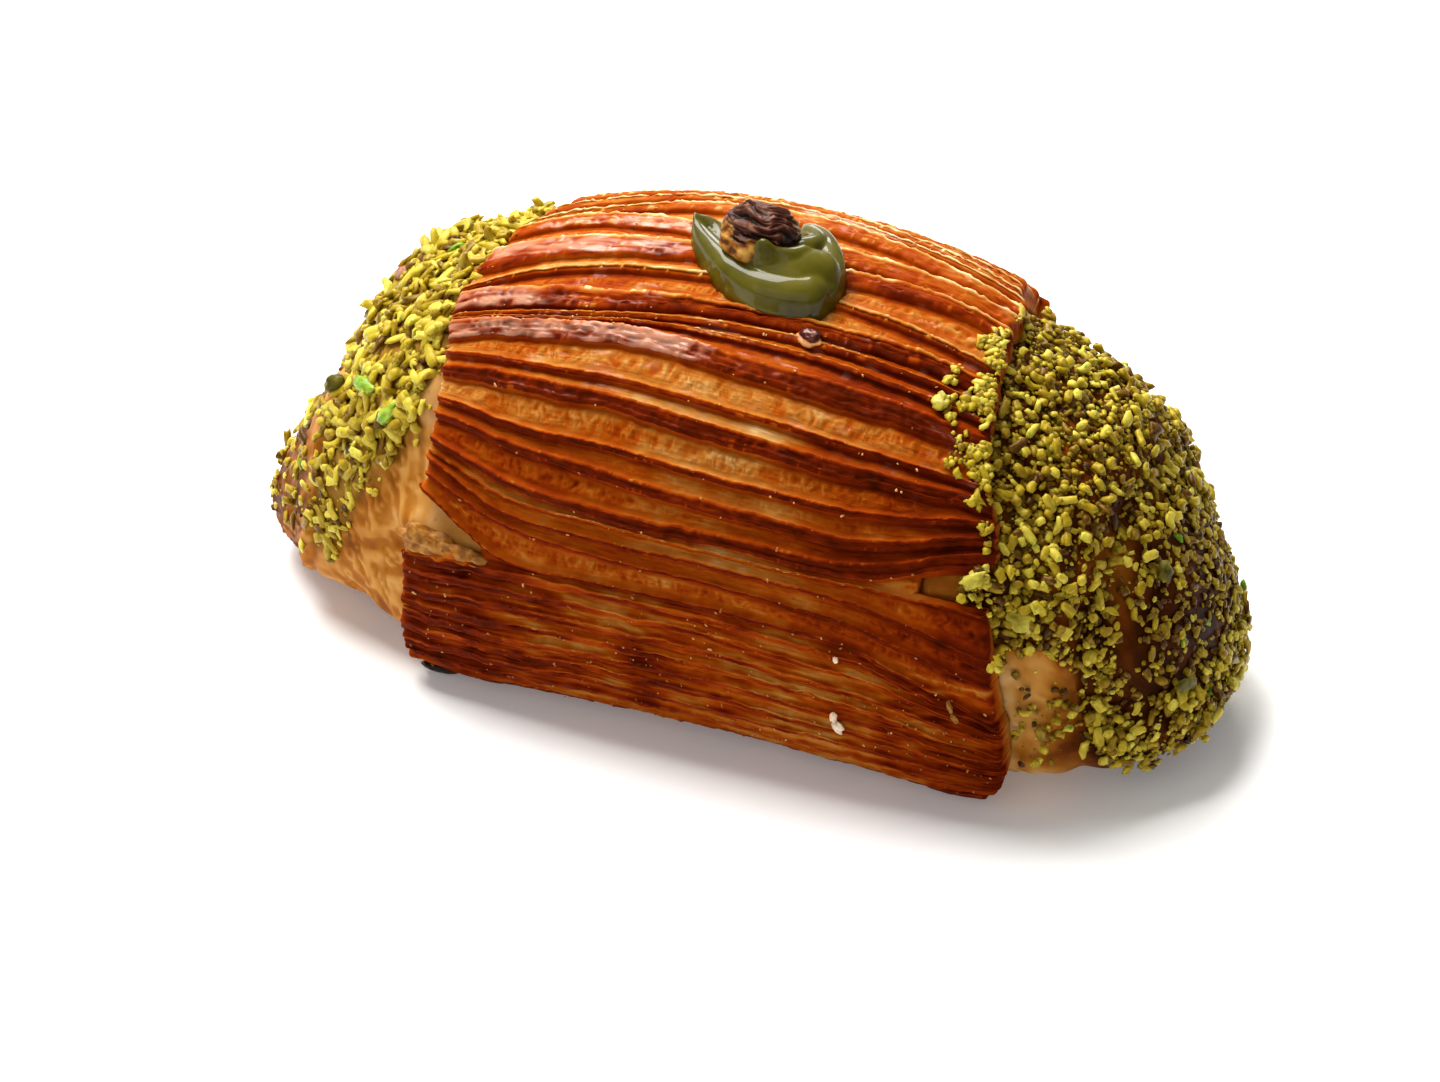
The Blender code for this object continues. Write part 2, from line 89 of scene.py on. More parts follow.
def aim_at(thing, place, back):
    """Puts a camera or light at place, looking along the reverse of back, with its top up."""
    back = back / np.linalg.norm(back)
    right = np.cross([0.0, 0.0, 1.0], back)
    right = right / np.linalg.norm(right)
    up = np.cross(back, right)
    turned = np.eye(4)
    turned[:3, 0], turned[:3, 1], turned[:3, 2] = right, up, back
    turned[:3, 3] = place * MM
    thing.matrix_world = turned.T.tolist()


def linear(code):
    """A colour's hex code, such as C98A45, as linear red, green, blue and a full alpha."""
    parts = [int(code[k : k + 2], 16) / 255 for k in (0, 2, 4)]
    return tuple(((c + 0.055) / 1.055) ** 2.4 if c > 0.04045 else c / 12.92 for c in parts) + (1.0,)


MAIN_OUTPUTS = {"Attribute": "Fac", "Mix": 2, "TexCoord": "Object"}  # other nodes: the first


def feed(node, **given):
    """Sets inputs of a node, each by its name, or its number as in _0, to a value, or links it
    to an output or to the main output of another node."""
    for name, value in given.items():
        key = int(name[1:]) if name[0] == "_" else name.replace("_", " ")
        if isinstance(value, bpy.types.Node):
            kind = value.bl_idname.removeprefix("ShaderNode")
            value = value.outputs[MAIN_OUTPUTS.get(kind, 0)]
        if isinstance(value, bpy.types.NodeSocket):
            node.id_data.links.new(value, node.inputs[key])
        else:
            node.inputs[key].default_value = value


def add_node(tree, kind, stops=(), **given):
    """Adds a node: a given name is one of its own settings, or else an input to feed. Stops are
    the places and hex codes of its colour ramp."""
    made = tree.nodes.new("ShaderNode" + kind)
    if stops:
        ramp = made.color_ramp.elements
        ramp[0].position, ramp[1].position = stops[0][0], stops[-1][0]
        for place, _ in stops[1:-1]:
            ramp.new(place)
        for element, (_, code) in zip(ramp, stops):
            element.color = linear(code)
    for name, value in given.items():
        if hasattr(made, name):
            setattr(made, name, value)
        else:
            feed(made, **{name: value})
    return made


scene = bpy.context.scene
scene.view_settings.view_transform = "Standard"
camera = bpy.data.objects.new("camera", bpy.data.cameras.new("camera"))
scene.collection.objects.link(camera)
scene.camera = camera
camera.data.lens = CAMERA_LENS
camera.data.clip_start = 0.05
camera.data.clip_end = 20.0
aimed = np.array([0.0, 0.0, AIM_HEIGHT]) + AIM_RIGHT * view_right + AIM_UP * view_up
aim_at(camera, aimed + CAMERA_AWAY * view_back, view_back)

# place in mm, size in mm, power in watts, strength of its reflection, colour
SOFTBOXES = {
    "light_above": ((-220.0, 90.0, 560.0), (400.0, 360.0), 7.2, 1.0, "FFFDFA"),
    "light_behind": ((-220.0, 540.0, 400.0), (320.0, 180.0), 2.4, 1.0, "FFFFFF"),
    "light_front": ((-60.0, -640.0, 420.0), (700.0, 500.0), 1.0, 0.3, "FFF8F0"),
}
for light_name, (place, size, power, mirrored, tone) in SOFTBOXES.items():
    lamp = bpy.data.lights.new(light_name, "AREA")
    lamp.shape = "RECTANGLE"
    lamp.size, lamp.size_y = size[0] * MM, size[1] * MM
    lamp.energy = power
    lamp.color = linear(tone)[:3]
    lamp.specular_factor = mirrored
    light = bpy.data.objects.new(light_name, lamp)
    scene.collection.objects.link(light)
    aim_at(light, np.array(place), np.array(place) - (0.0, 0.0, AIM_HEIGHT))

# The room is bright behind and overhead, and dim in front
WORLD_WAY = (-0.25, 0.50, 0.83)
WORLD_DIM, WORLD_BRIGHT = "6A645D", "E0E0E0"
WORLD_STRENGTH = 0.42
world = bpy.data.worlds.new("studio")
scene.world = world
world.use_nodes = True
sky_tree = world.node_tree
sky = sky_tree.nodes["Background"]
way = add_node(sky_tree, "TexCoord").outputs["Generated"]
facing = add_node(sky_tree, "VectorMath", operation="DOT_PRODUCT", _0=way, _1=WORLD_WAY)
sky_ramp = add_node(
    sky_tree,
    "ValToRGB",
    Fac=add_node(sky_tree, "MapRange", Value=facing.outputs["Value"], From_Min=-0.5, From_Max=0.8),
    stops=[(0.0, WORLD_DIM), (1.0, WORLD_BRIGHT)],
)
feed(sky, Color=sky_ramp, Strength=WORLD_STRENGTH)

floor_mesh = bpy.data.meshes.new("floor")
half_floor = FLOOR_SIZE / 2
floor_mesh.from_pydata(
    [(x * half_floor, y * half_floor, 0.0) for x, y in ((-1, -1), (1, -1), (1, 1), (-1, 1))],
    [],
    [(0, 1, 2, 3)],
)
floor = bpy.data.objects.new("floor", floor_mesh)
scene.collection.objects.link(floor)
floor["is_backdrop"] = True
painted = bpy.data.materials.new("white_table")
painted.use_nodes = True
feed(
    painted.node_tree.nodes["Principled BSDF"],
    Base_Color=(FLOOR_WHITE, FLOOR_WHITE, FLOOR_WHITE, 1.0),
    Roughness=0.6,
    Specular_IOR_Level=0.2,
    Emission_Color=(1.0, 1.0, 1.0, 1.0),
    Emission_Strength=FLOOR_GLOW,
)
floor.data.materials.append(painted)

# ---------------------------------------------------------------- the roll of dough
# Leavened dough rolled up to a croissant: fat in the middle, with two horns, each a thick
# outer layer that ends short of a thinner tip. Baked golden, with pinholes and a thin glaze.

CROWN_X = 3.0
ROLL_TOP = 62.0
ROLL_HALF_WIDTH = 34.1
HORN_REACH = (78.0, 72.0)
TIP_HEIGHT = 9.0
TOP_TAPER = ((2.4, 1.3), (2.1, 2.1))  # exponents a and b at the left, and at the right
WIDTH_TAPER = ((2.8, 2.2), (3.2, 2.6))
HORN_CLEARANCE = 0.8  # over the table
BELLY = 0.40
ROUND_TOP = 2.15
ROUND_HORN = 2.8
SQUARE_FOOT = 6.0
COLLAR_AT = (-62.0, 60.0)
COLLAR_STEP = 0.07
COLLAR_FADE = 2.0
COLLAR_BEAD = (2.5, 3.0, 0.025)  # before the step: how far, its spread and its height
UNDER_WRAP = (47.0, 59.0)  # from the sheet's middle: its section is the wrap's, then a horn's
FOOT_DRAW = (4.1, 9.0, 36.0, 16.0)  # how far, X of its middle, half length, height
SHEET_MIDDLE = 8.0
SOLE = 2.6


def smooth(t):
    """0 below 0, 1 above 1, and 3t^2 - 2t^3 between."""
    t = np.clip(t, 0.0, 1.0)
    return t * t * (3.0 - 2.0 * t)


def rise(x, start, run):
    """0 up to the start, 1 from a run beyond it, and smooth between."""
    return smooth((x - start) / run)


def fall(x, end, run):
    """1 up to a run before the end, 0 from the end on, and smooth between."""
    return smooth((end - x) / run)


def bell(x, middle, spread):
    """1 at the middle and 1/e a spread away: e to the minus square of the spreads between."""
    return np.exp(-(((x - middle) / spread) ** 2))


def hashed(i, j, seed):
    """An even draw from 0 to 1 for each whole-number cell (i, j), the same on every run."""
    n = (i * 374761393 + j * 668265263 + seed * 1442695041) & 0xFFFFFFFF
    n = ((n ^ (n >> 13)) * 1274126177) & 0xFFFFFFFF
    return (n ^ (n >> 16)) / 2.0**32


def noise(u, v, seed):
    """Value noise from -1 to 1: a draw at each corner of a unit square, blended smoothly.
    Each use has a seed of its own."""
    u, v = np.broadcast_arrays(np.asarray(u, float), np.asarray(v, float))
    i, j = np.floor(u).astype(np.int64), np.floor(v).astype(np.int64)
    fu, fv = smooth(u - i), smooth(v - j)
    low = hashed(i, j, seed) * (1 - fu) + hashed(i + 1, j, seed) * fu
    high = hashed(i, j + 1, seed) * (1 - fu) + hashed(i + 1, j + 1, seed) * fu
    return 2.0 * (low * (1 - fv) + high * fv) - 1.0


def rough(u, v, seed, octaves=3):
    """Noise, plus the same at twice the pitch and half the height, and so on."""
    return sum(noise(u * 2**k, v * 2**k, seed + 17 * k) / 2**k for k in range(octaves))


def taper(x, exponents):
    """1 at the crown, 0 at the tips: (1 - t^a)^(1/b), with t the share of the way to the tip."""
    left, right = exponents
    t_left = np.clip((CROWN_X - x) / HORN_REACH[0], 0.0, 1.0)
    t_right = np.clip((x - CROWN_X) / HORN_REACH[1], 0.0, 1.0)
    on_left = (1.0 - t_left ** left[0]) ** (1.0 / left[1])
    on_right = (1.0 - t_right ** right[0]) ** (1.0 / right[1])
    return np.where(x < CROWN_X, on_left, on_right)


def collar(x):
    """Scale of the section: it drops where the outer layer of dough ends on a horn."""
    inwards, spread, height = COLLAR_BEAD
    size = 1.0
    for outwards in (COLLAR_AT[0] - x, x - COLLAR_AT[1]):
        size = size - COLLAR_STEP * smooth(outwards / COLLAR_FADE)
        size += height * bell(outwards, -inwards, spread)
    return size


def section_sizes(x):
    """Half width, top and bottom of the roll at x, and the exponent of its lower half."""
    half = ROLL_HALF_WIDTH * taper(x, WIDTH_TAPER) * collar(x)
    top = TIP_HEIGHT + (ROLL_TOP - TIP_HEIGHT) * taper(x, TOP_TAPER) * collar(x)
    square, rounded = UNDER_WRAP
    under_wrap = 1.0 - smooth((abs(x - SHEET_MIDDLE) - square) / (rounded - square))
    closed = taper(x, ((9.0, 2.0), (9.0, 2.0)))
    low = SOLE * under_wrap + HORN_CLEARANCE * (1.0 - under_wrap)
    bottom = TIP_HEIGHT + (low - TIP_HEIGHT) * closed
    lower = ROUND_HORN + (SQUARE_FOOT - ROUND_HORN) * under_wrap
    return half, top, bottom, lower


def section_point(x, angle, grow=0.0, grow_down=None):
    """(y, z) on the roll's superellipse at x and an angle, 0 at the front belly, 90 on top."""
    half, top, bottom, lower = section_sizes(x)
    grow_down = grow if grow_down is None else grow_down
    middle = bottom + BELLY * (top - bottom)
    across, along = np.cos(angle), np.sin(angle)
    power = np.where(along >= 0, ROUND_TOP, lower)
    size = (np.abs(across) ** power + np.abs(along) ** power) ** (-1.0 / power)
    reach = np.where(along >= 0, top + grow - middle, middle - bottom + grow_down)
    return -(half + grow) * across * size, middle + reach * along * size


def drawn_in(points):
    """The points after the foot has drawn in along its middle, most at the table."""
    most, middle, half_length, height = FOOT_DRAW
    x, y, z = np.moveaxis(points, -1, 0)
    along = np.clip(1.0 - ((x - middle) / half_length) ** 2, 0.0, 1.0)
    low = np.clip(1.0 - z / height, 0.0, 1.0) ** 1.5
    return np.stack([x, y * (1.0 - most / ROLL_HALF_WIDTH * along * low), z], axis=-1)


def roll_point(x, angle, grow=0.0):
    """Points of the roll, and its outward normals, at arrays of x and angle."""
    x, angle = np.broadcast_arrays(x, angle)
    step = 0.02
    places = []
    for dx, da in ((0, 0), (-step, 0), (step, 0), (0, -0.002), (0, 0.002)):
        y, z = section_point(x + dx, angle + da, grow)
        places.append(np.stack([x + dx, y, z], axis=-1))
    normal = np.cross(places[4] - places[3], places[2] - places[1])
    normal /= np.linalg.norm(normal, axis=-1, keepdims=True) + 1e-12
    outwards = np.sum(normal * (places[0] - (0.0, 0.0, 20.0)), axis=-1, keepdims=True)
    return places[0], normal * np.where(outwards < 0, -1.0, 1.0)


def grid_faces(rows, columns, rows_join=False, columns_join=False):
    """The quads of a grid of points that is numbered row by row."""
    row, column = np.meshgrid(
        np.arange(rows if rows_join else rows - 1),
        np.arange(columns if columns_join else columns - 1),
        indexing="ij",
    )
    after_row, after_column = (row + 1) % rows, (column + 1) % columns
    corners = (
        row * columns + column,
        row * columns + after_column,
        after_row * columns + after_column,
        after_row * columns + column,
    )
    return np.stack(corners, axis=-1).reshape(-1, 4).tolist()


def fan_faces(hub, ring):
    """Triangles from a hub point to each pair of neighbours of a closed ring."""
    return [(hub, a, b) for a, b in zip(ring, ring[1:] + ring[:1])]


def capped(rings, hubs=None):
    """A tube of closed rings with a fan of triangles on each end, round the ring's middle or
    the hub given: its points and faces."""
    rows, columns = rings.shape[:2]
    hubs = [rings[0].mean(axis=0), rings[-1].mean(axis=0)] if hubs is None else hubs
    first = list(range(columns))
    last = [(rows - 1) * columns + k for k in first]
    faces = grid_faces(rows, columns, columns_join=True)
    faces += fan_faces(rows * columns, first[::-1]) + fan_faces(rows * columns + 1, last)
    return np.concatenate([rings.reshape(-1, 3), hubs]), faces


def volume(points, faces):
    """Signed volume inside faces: a sum of tetrahedra from the origin over their fans."""
    total = 0.0
    for size in {len(f) for f in faces}:
        f = np.array([f for f in faces if len(f) == size])
        for k in range(1, size - 1):
            a, b, c = (points[f[:, n]] for n in (0, k, k + 1))
            total += np.einsum("ij,ij->", a, np.cross(b, c))
    return total / 6.0


def make_piece(name, points, faces, material, slot, **marks):
    """A smooth mesh in mm, faces outwards, that rides on the body. Each mark is a number at
    every point, which the material reads by name."""
    points = np.asarray(points, float).reshape(-1, 3)
    if volume(points, faces) < 0:
        faces = [f[::-1] for f in faces]
    mesh = bpy.data.meshes.new(name)
    mesh.from_pydata((points * MM).tolist(), [], faces)
    mesh.shade_smooth()
    for mark, values in marks.items():
        layer = mesh.attributes.new(mark, "FLOAT", "POINT")
        layer.data.foreach_set("value", np.asarray(values, np.float32).ravel())
    mesh.materials.append(material)
    piece = bpy.data.objects.new(name, mesh)
    scene.collection.objects.link(piece)
    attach(piece, "root")
    return piece


def new_material(name):
    """A material, the function that adds nodes to it, and its shader."""
    made = bpy.data.materials.new(name)
    made.use_nodes = True
    tree = made.node_tree
    return made, functools.partial(add_node, tree), tree.nodes["Principled BSDF"]


# Croissant dough, egg-washed and baked: pale cream where layers part, gold on the horns, brown
# at edges and tips. The wash leaves a thin satin glaze, so it glints but isn't shiny.
dough, add, shader = new_material("baked_dough")
mark = add("Attribute", attribute_name="bake")
place = add("TexCoord")
blotch = add("TexNoise", Vector=place, Scale=160.0, Detail=4.0)
tone = add("Math", operation="MULTIPLY_ADD", _0=blotch, _1=0.36, _2=mark)
ramp = add(
    "ValToRGB",
    Fac=tone,
    stops=[
        (0.10, "DEB478"), (0.32, "C28C44"), (0.52, "A2621A"), (0.74, "6C3208"), (1.0, "2A0F01"),
    ],
)
# The colour is painted darker in each pinhole, a painted shade, and the bump dents the pinholes
pores = add("TexVoronoi", Vector=place, Scale=420.0)
holes = add("MapRange", Value=pores, From_Min=0.02, From_Max=0.16, To_Min=0.45, To_Max=1.0)
crumbly = add("TexNoise", Vector=place, Scale=900.0, Detail=3.0)
pore_shaded_colour = add("Mix", data_type="RGBA", blend_type="MULTIPLY", _0=0.5, _6=ramp, _7=holes)
soaked = add("Attribute", attribute_name="olive")
syrup = add("ValToRGB", Fac=blotch, stops=[(0.34, "5A3C0C"), (0.5, "8A6420"), (0.66, "AE8A3A")])
coated = add("Mix", data_type="RGBA", _0=soaked, _6=pore_shaded_colour, _7=syrup)
height = add("Math", operation="MULTIPLY_ADD", _0=holes, _1=0.6, _2=crumbly)
bump = add("Bump", Strength=0.35, Distance=0.00025, Height=height)
feed(
    shader,
    Base_Color=coated, Normal=bump, Roughness=0.48, IOR=1.45, Specular_IOR_Level=0.05,
    Specular_Tint=(1.0, 0.60, 0.28, 1.0), Subsurface_Weight=0.15,
    Subsurface_Radius=(1.0, 0.45, 0.15), Subsurface_Scale=0.002,
)

ROLL_ROWS, ROLL_COLUMNS = 330, 240


def roll_bake(x, angle, z):
    """How brown the dough is: pale beside the wrap and low down, golden above, brown at the
    tips and beyond the collars, and dark under the strewn nuts, at the right partly a syrupy
    glaze and partly painted shade between the crumbs."""
    bake = 0.14 + 0.10 * smooth((abs(x - SHEET_MIDDLE) - 46.0) / 14.0)
    bake += 0.22 * smooth((COLLAR_AT[0] + 2.0 - x) / 3.0) + 0.16 * smooth((x - COLLAR_AT[1]) / 4.0)
    bake += 0.10 * rough(x / 9.0, angle * 3.0, 31) + 0.06 * rough(x / 2.4, angle * 10.0, 32)
    low_right = fall(z, 30.0, 6.0) * (x > 44.0)
    browner = 0.13 * rise(x, 57.0, 4.0) + 0.12 * rise(x, 62.0, 3.0)
    bake += low_right * (browner - 0.06 * bell(x, 53.5, 2.5))
    nut_glaze_and_shade = strewn(x, angle, z)
    return np.minimum(bake + nut_glaze_and_shade * np.where(x < 0, 0.16, 0.46), 0.77)


def ear_edge(z):
    """X at which the rough fold of dough at the left tip begins, further out low down."""
    return -57.4 - 2.0 * fall(z, 15.0, 8.0)


# Where chopped nuts lie, as pairs: X and the height above which they lie at the right and the
# left, and height and X of the sheet's right end, beyond which they lie
NUTS_RIGHT = ((50, 26), (54, 24), (58, 24), (61, 22), (63, 10), (65, 4), (70, 2), (73, 2))
NUTS_LEFT = (
    (-75, 8), (-66, 12), (-58, 10), (-54, 11), (-50, 17), (-46, 26), (-41, 35), (-37, 40),
    (-34, 44),
)
NUTS_BEYOND = ((22, 53), (28, 51), (32, 49.5), (43, 47), (50, 41), (57, 36))
# Gaps in the wrap where dough shows, at the right and the left: X of each end with the run over
# which it fades, then the height of the middle and its spread
NOTCH = (40.0, 2.0, 53.0, 2.0, 35.5, 3.4)
SPLIT = (-42.0, 5.0, -23.5, 1.5, 26.5, 3.0)


def read(x, pairs):
    """The value at x on straight lines between pairs of place and value."""
    return np.interp(x, *np.array(pairs).T)


def in_gap(gap, x, angle, z):
    """1 on the dough that shows in a gap of the wrap, fading to 0 round it."""
    first, run_in, last, run_out, height, spread = gap
    front = np.cos(angle) > 0.0
    return rise(x, first, run_in) * fall(x, last, run_out) * bell(z, height, spread) * front


def strewn(x, angle, z):
    """How densely the nuts lie at a point of the roll, from 0 to 1: on the right horn with a
    bare groove down its front, and on the left one with a barer fold at its tip."""
    edge = 2.5 * rough(x / 6.0, angle * 2.2, 51)
    right_low = read(x, NUTS_RIGHT)
    right = smooth((z - right_low + edge) / 5.0) * smooth((x - read(z, NUTS_BEYOND) + 1.5) / 1.5)
    right = np.maximum(right, 0.8 * in_gap(NOTCH, x, angle, z) * rise(x, 45.5, 1.5))
    groove = 62.0 + (39.0 - z) * 0.30
    bare = bell(x, groove, 2.3) * (np.cos(angle) > -0.15) * fall(z, 40.0, 5.0)
    sparse = 0.15 * rise(x, 54.0, 2.0) * rise(z, 7.0, 3.0) * (z < right_low)
    right = right * (1.0 - 0.8 * bare) + sparse
    left = smooth((z - read(x, NUTS_LEFT) + edge) / 6.0) * fall(x, -33.5, 2.0)
    left = left * (1.0 - 0.70 * fall(x, ear_edge(z), 1.2) * smooth(np.cos(angle) * 2.0 + 0.3))
    return np.where(x > 0, right, left)


def clump(x, angle, z):
    """How high glaze and nuts are heaped on the dough: a lumpy mound on top of the left horn,
    a little at the right tip, and what fills the gaps of the wrap."""
    mound = rise(z, 33.0, 10.0) * fall(x, -34.0, 3.0) * rise(x, -61.0, 8.0)
    lumps = 2.0 + 0.9 * noise(x / 3.2, angle * 6.0, 62) + 0.4 * noise(x / 1.6, angle * 12.0, 63)
    lumps += 2.6 * fall(x, -42.0, 5.0) * smooth(0.6 - np.cos(angle))
    at_tip = rise(x, 61.0, 4.0) * fall(z, 16.0, 6.0) * rise(z, 1.0, 4.0)
    at_tip *= smooth(np.cos(angle) * 3.0)
    in_gaps = 2.9 * in_gap(NOTCH, x, angle, z) + 2.6 * in_gap(SPLIT, x, angle, z)
    return np.maximum(mound * lumps, 0.0) + 1.5 * at_tip + in_gaps


roll_shares = np.sin(np.linspace(-math.pi / 2, math.pi / 2, ROLL_ROWS))
roll_middle = CROWN_X + (HORN_REACH[1] - HORN_REACH[0]) / 2
roll_x = roll_middle + (sum(HORN_REACH) / 2 - 0.002) * roll_shares
roll_angles = np.linspace(0.0, 2.0 * math.pi, ROLL_COLUMNS, endpoint=False)
grid_x, grid_angle = np.meshgrid(roll_x, roll_angles, indexing="ij")
roll_at, roll_out = roll_point(grid_x, grid_angle)
grid_z = roll_at[..., 2]
grid = (grid_x, grid_angle, grid_z)


def turning(sine, cosine):
    """A way round the roll that closes on itself, for noise without a seam."""
    return np.sin(grid_angle) * sine + np.cos(grid_angle) * cosine


relief = 0.25 * rough(grid_x / 7.0, turning(4.0, 3.0), 5)
relief += 0.10 * noise(grid_x / 1.6, turning(12.0, 9.0), 6)
# The glaze shrinks in fine veins on the left horn
shrunk = fall(grid_x, -33.0, 4.0) * rise(grid_x, -58.0, 8.0) * fall(grid_z, 44.0, 8.0)
veins = grid_x / 1.1 + grid_z / 4.0 + 0.9 * noise(grid_x / 2.4, grid_angle * 9.0, 8)
veins = np.abs(noise(veins, grid_angle * 9.0, 7))
relief += shrunk * 0.30 * (0.5 - veins * 1.6)
# The left tip is a rough fold of dough with a raised rim and a crease before it
to_ear = grid_x - ear_edge(grid_z)
on_ear = smooth(-to_ear / 1.2)
relief += on_ear * (0.36 * rough(grid_x / 1.7, turning(9.0, 7.0), 9) - 0.2)
relief += 0.4 * bell(to_ear, -1.6, 1.0) - 0.6 * bell(to_ear, 0.0, 0.8)
# Low on the right horn the dough is dry and grainy
dry = rise(grid_x, 49.0, 2.0) * fall(grid_x, 61.0, 3.0) * fall(grid_z, 24.0, 4.0)
relief += dry * 0.14 * noise(grid_x / 0.8, grid_angle * 10.0, 11)
relief *= rise(75.0 - np.abs(grid_x), 0.0, 3.0)
relief += clump(*grid)
relief = np.where(grid_z + relief * roll_out[..., 2] < 0.3, 0.0, relief)
roll_points, roll_faces = capped(drawn_in(roll_at + relief[..., None] * roll_out))
# The vein valleys of the shrunk glaze are painted darker: painted shade
baked = roll_bake(*grid) + shrunk * 0.20 * rise(veins, 0.15, 0.4)
baked += 0.22 * bell(to_ear, 0.0, 0.9) * fall(grid_z, 30.0, 6.0)
baked += 0.34 * in_gap(NOTCH, *grid)
baked += on_ear * (0.06 + 0.26 * noise(grid_x / 1.3, grid_angle * 12.0, 10))
baked += dry * 0.12 * noise(grid_x / 1.0, grid_angle * 12.0, 12)
olive = 0.85 * strewn(*grid) * (grid_x < 0.0) * (1.0 - 0.5 * on_ear)
roll = make_piece(
    "dough_roll_baked",
    roll_points,
    roll_faces,
    dough,
    "dough",
    bake=np.append(baked, [0.6, 0.7]),
    olive=np.append(olive, [0.0, 0.0]),
)
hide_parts("dough_roll")

# ---------------------------------------------------------------- the ribbed wrap
# A block of laminated dough is sliced across its layers, and the slice is wound round the roll
# with its cut layers outwards. In the oven the layers part and curl: each becomes a brown,
# egg-washed ridge with a thin upper lip, and the pale crumb between them shows as a recess.

SHEET = 3.4
END_LIFT = (0.2, 0.9)
BACK_LAG = ((4.5, 7.0), (13.0, 2.4))
LAG_LOST = (0.5, 0.9)
FOOT_HEIGHT = 1.6
INSIDE_GAP = 0.65
GIRTH = 78.5

# Where the ridges are read: X of six stations along the wrap. A ridge is its upper edge at
# each station, then its width at the left, in the middle and at the right, its relief, how
# brown it is, and how brown the recess above it is. Girths are in mm from the crown, less than
# 0 behind it.
STATIONS = np.array([-34.0, -22.0, -6.0, 15.0, 35.0, 47.0])
WIDTHS_AT = (STATIONS[0], SHEET_MIDDLE, STATIONS[-1])
EDGE, WIDTH, RELIEF, BROWN, RECESS_BROWN = slice(0, 6), slice(6, 9), 9, 10, 11
RIDGES = (
    (-24.5, -24.6, -24.8, -24.5, -22.5, -21.0, 1.6, 2.4, 1.8, 0.60, 0.62, 0.45),
    (-20.0, -20.0, -20.4, -20.0, -17.6, -16.0, 1.8, 2.2, 2.2, 0.60, 0.62, 0.45),
    (-14.0, -14.8, -16.6, -16.4, -13.4, -12.0, 2.0, 2.4, 1.4, 0.60, 0.60, 0.42),
    (-8.5, -9.6, -12.6, -12.2, -11.0, -9.6, 2.4, 1.4, 1.0, 0.60, 0.60, 0.42),
    (-3.9, -4.6, -8.9, -9.8, -8.3, -7.2, 1.2, 4.0, 2.4, 0.70, 0.64, 0.50),
    (-1.9, -2.2, -1.6, -2.6, -4.8, -4.9, 3.0, 3.6, 3.4, 0.70, 0.70, 0.50),
    (5.0, 4.3, 4.1, 2.2, -1.0, -1.0, 4.6, 3.0, 2.6, 0.80, 0.80, 0.52),
    (12.4, 10.7, 9.6, 7.9, 7.5, 7.1, 0.8, 1.2, 1.0, 0.60, 0.62, 0.46),
    (14.2, 14.7, 14.0, 12.7, 10.9, 10.2, 3.6, 2.2, 2.6, 0.70, 0.74, 0.46),
    (18.5, 18.6, 17.3, 15.6, 14.6, 14.0, 0.5, 0.9, 0.8, 0.50, 0.66, 0.48),
    (19.1, 19.3, 18.3, 17.5, 16.9, 16.4, 0.3, 0.6, 0.8, 0.40, 0.60, 0.50),
    (19.6, 19.8, 19.5, 20.3, 19.5, 18.8, 2.8, 2.7, 3.2, 0.80, 0.80, 0.50),
    (24.8, 25.9, 26.5, 27.1, 26.8, 25.6, 0.6, 0.8, 0.7, 0.60, 0.66, 0.28),
    (26.9, 28.0, 28.8, 29.7, 29.2, 27.4, 1.9, 2.4, 1.7, 0.70, 0.78, 0.38),
    (31.5, 34.1, 35.0, 35.7, 34.3, 30.6, 0.7, 0.9, 0.9, 0.60, 0.74, 0.33),
    (33.6, 36.4, 38.0, 38.9, 37.7, 33.0, 0.8, 1.8, 1.2, 0.70, 0.76, 0.40),
    (37.0, 41.3, 42.9, 42.7, 40.7, 35.4, 0.8, 1.9, 2.2, 0.70, 0.76, 0.44),
    (38.9, 43.6, 45.0, 45.3, 44.2, 43.3, 0.3, 0.3, 0.3, 0.20, 0.30, 0.24),
    (40.0, 45.7, 47.1, 47.0, 47.0, 48.6, 0.4, 0.5, 0.6, 0.40, 0.74, 0.30),
    (42.2, 47.4, 49.3, 49.5, 50.2, 52.6, 0.5, 0.5, 0.6, 0.40, 0.72, 0.40),
    (44.6, 52.2, 53.1, 52.9, 53.7, 57.2, 0.5, 0.7, 0.9, 0.50, 0.78, 0.42),
    (54.6, 54.6, 54.6, 54.8, 55.8, 58.8, 1.8, 1.0, 0.7, 0.40, 0.84, 0.50),
    (57.4, 57.4, 57.2, 57.2, 58.0, 60.4, 1.6, 0.9, 0.7, 0.40, 0.84, 0.52),
    (60.0, 60.0, 59.6, 59.4, 60.2, 62.2, 1.6, 1.1, 0.8, 0.40, 0.84, 0.52),
    (62.6, 62.6, 62.0, 61.8, 62.4, 64.2, 1.4, 0.9, 0.8, 0.35, 0.82, 0.52),
    (64.8, 64.8, 64.2, 64.0, 64.6, 66.0, 1.4, 0.9, 0.8, 0.35, 0.84, 0.52),
    (67.0, 67.0, 66.4, 66.2, 66.8, 67.9, 1.4, 1.1, 0.8, 0.35, 0.84, 0.52),
    (69.2, 69.2, 68.8, 68.8, 69.0, 69.8, 1.4, 1.0, 0.8, 0.35, 0.86, 0.52),
    (71.6, 71.6, 71.2, 71.2, 71.4, 71.8, 1.4, 1.1, 0.9, 0.35, 0.84, 0.52),
    (74.0, 74.0, 73.8, 73.8, 73.8, 74.0, 1.4, 1.2, 1.0, 0.35, 0.86, 0.52),
    (76.4, 76.4, 76.2, 76.2, 76.2, 76.4, 1.2, 1.2, 1.0, 0.30, 0.88, 0.52),
)
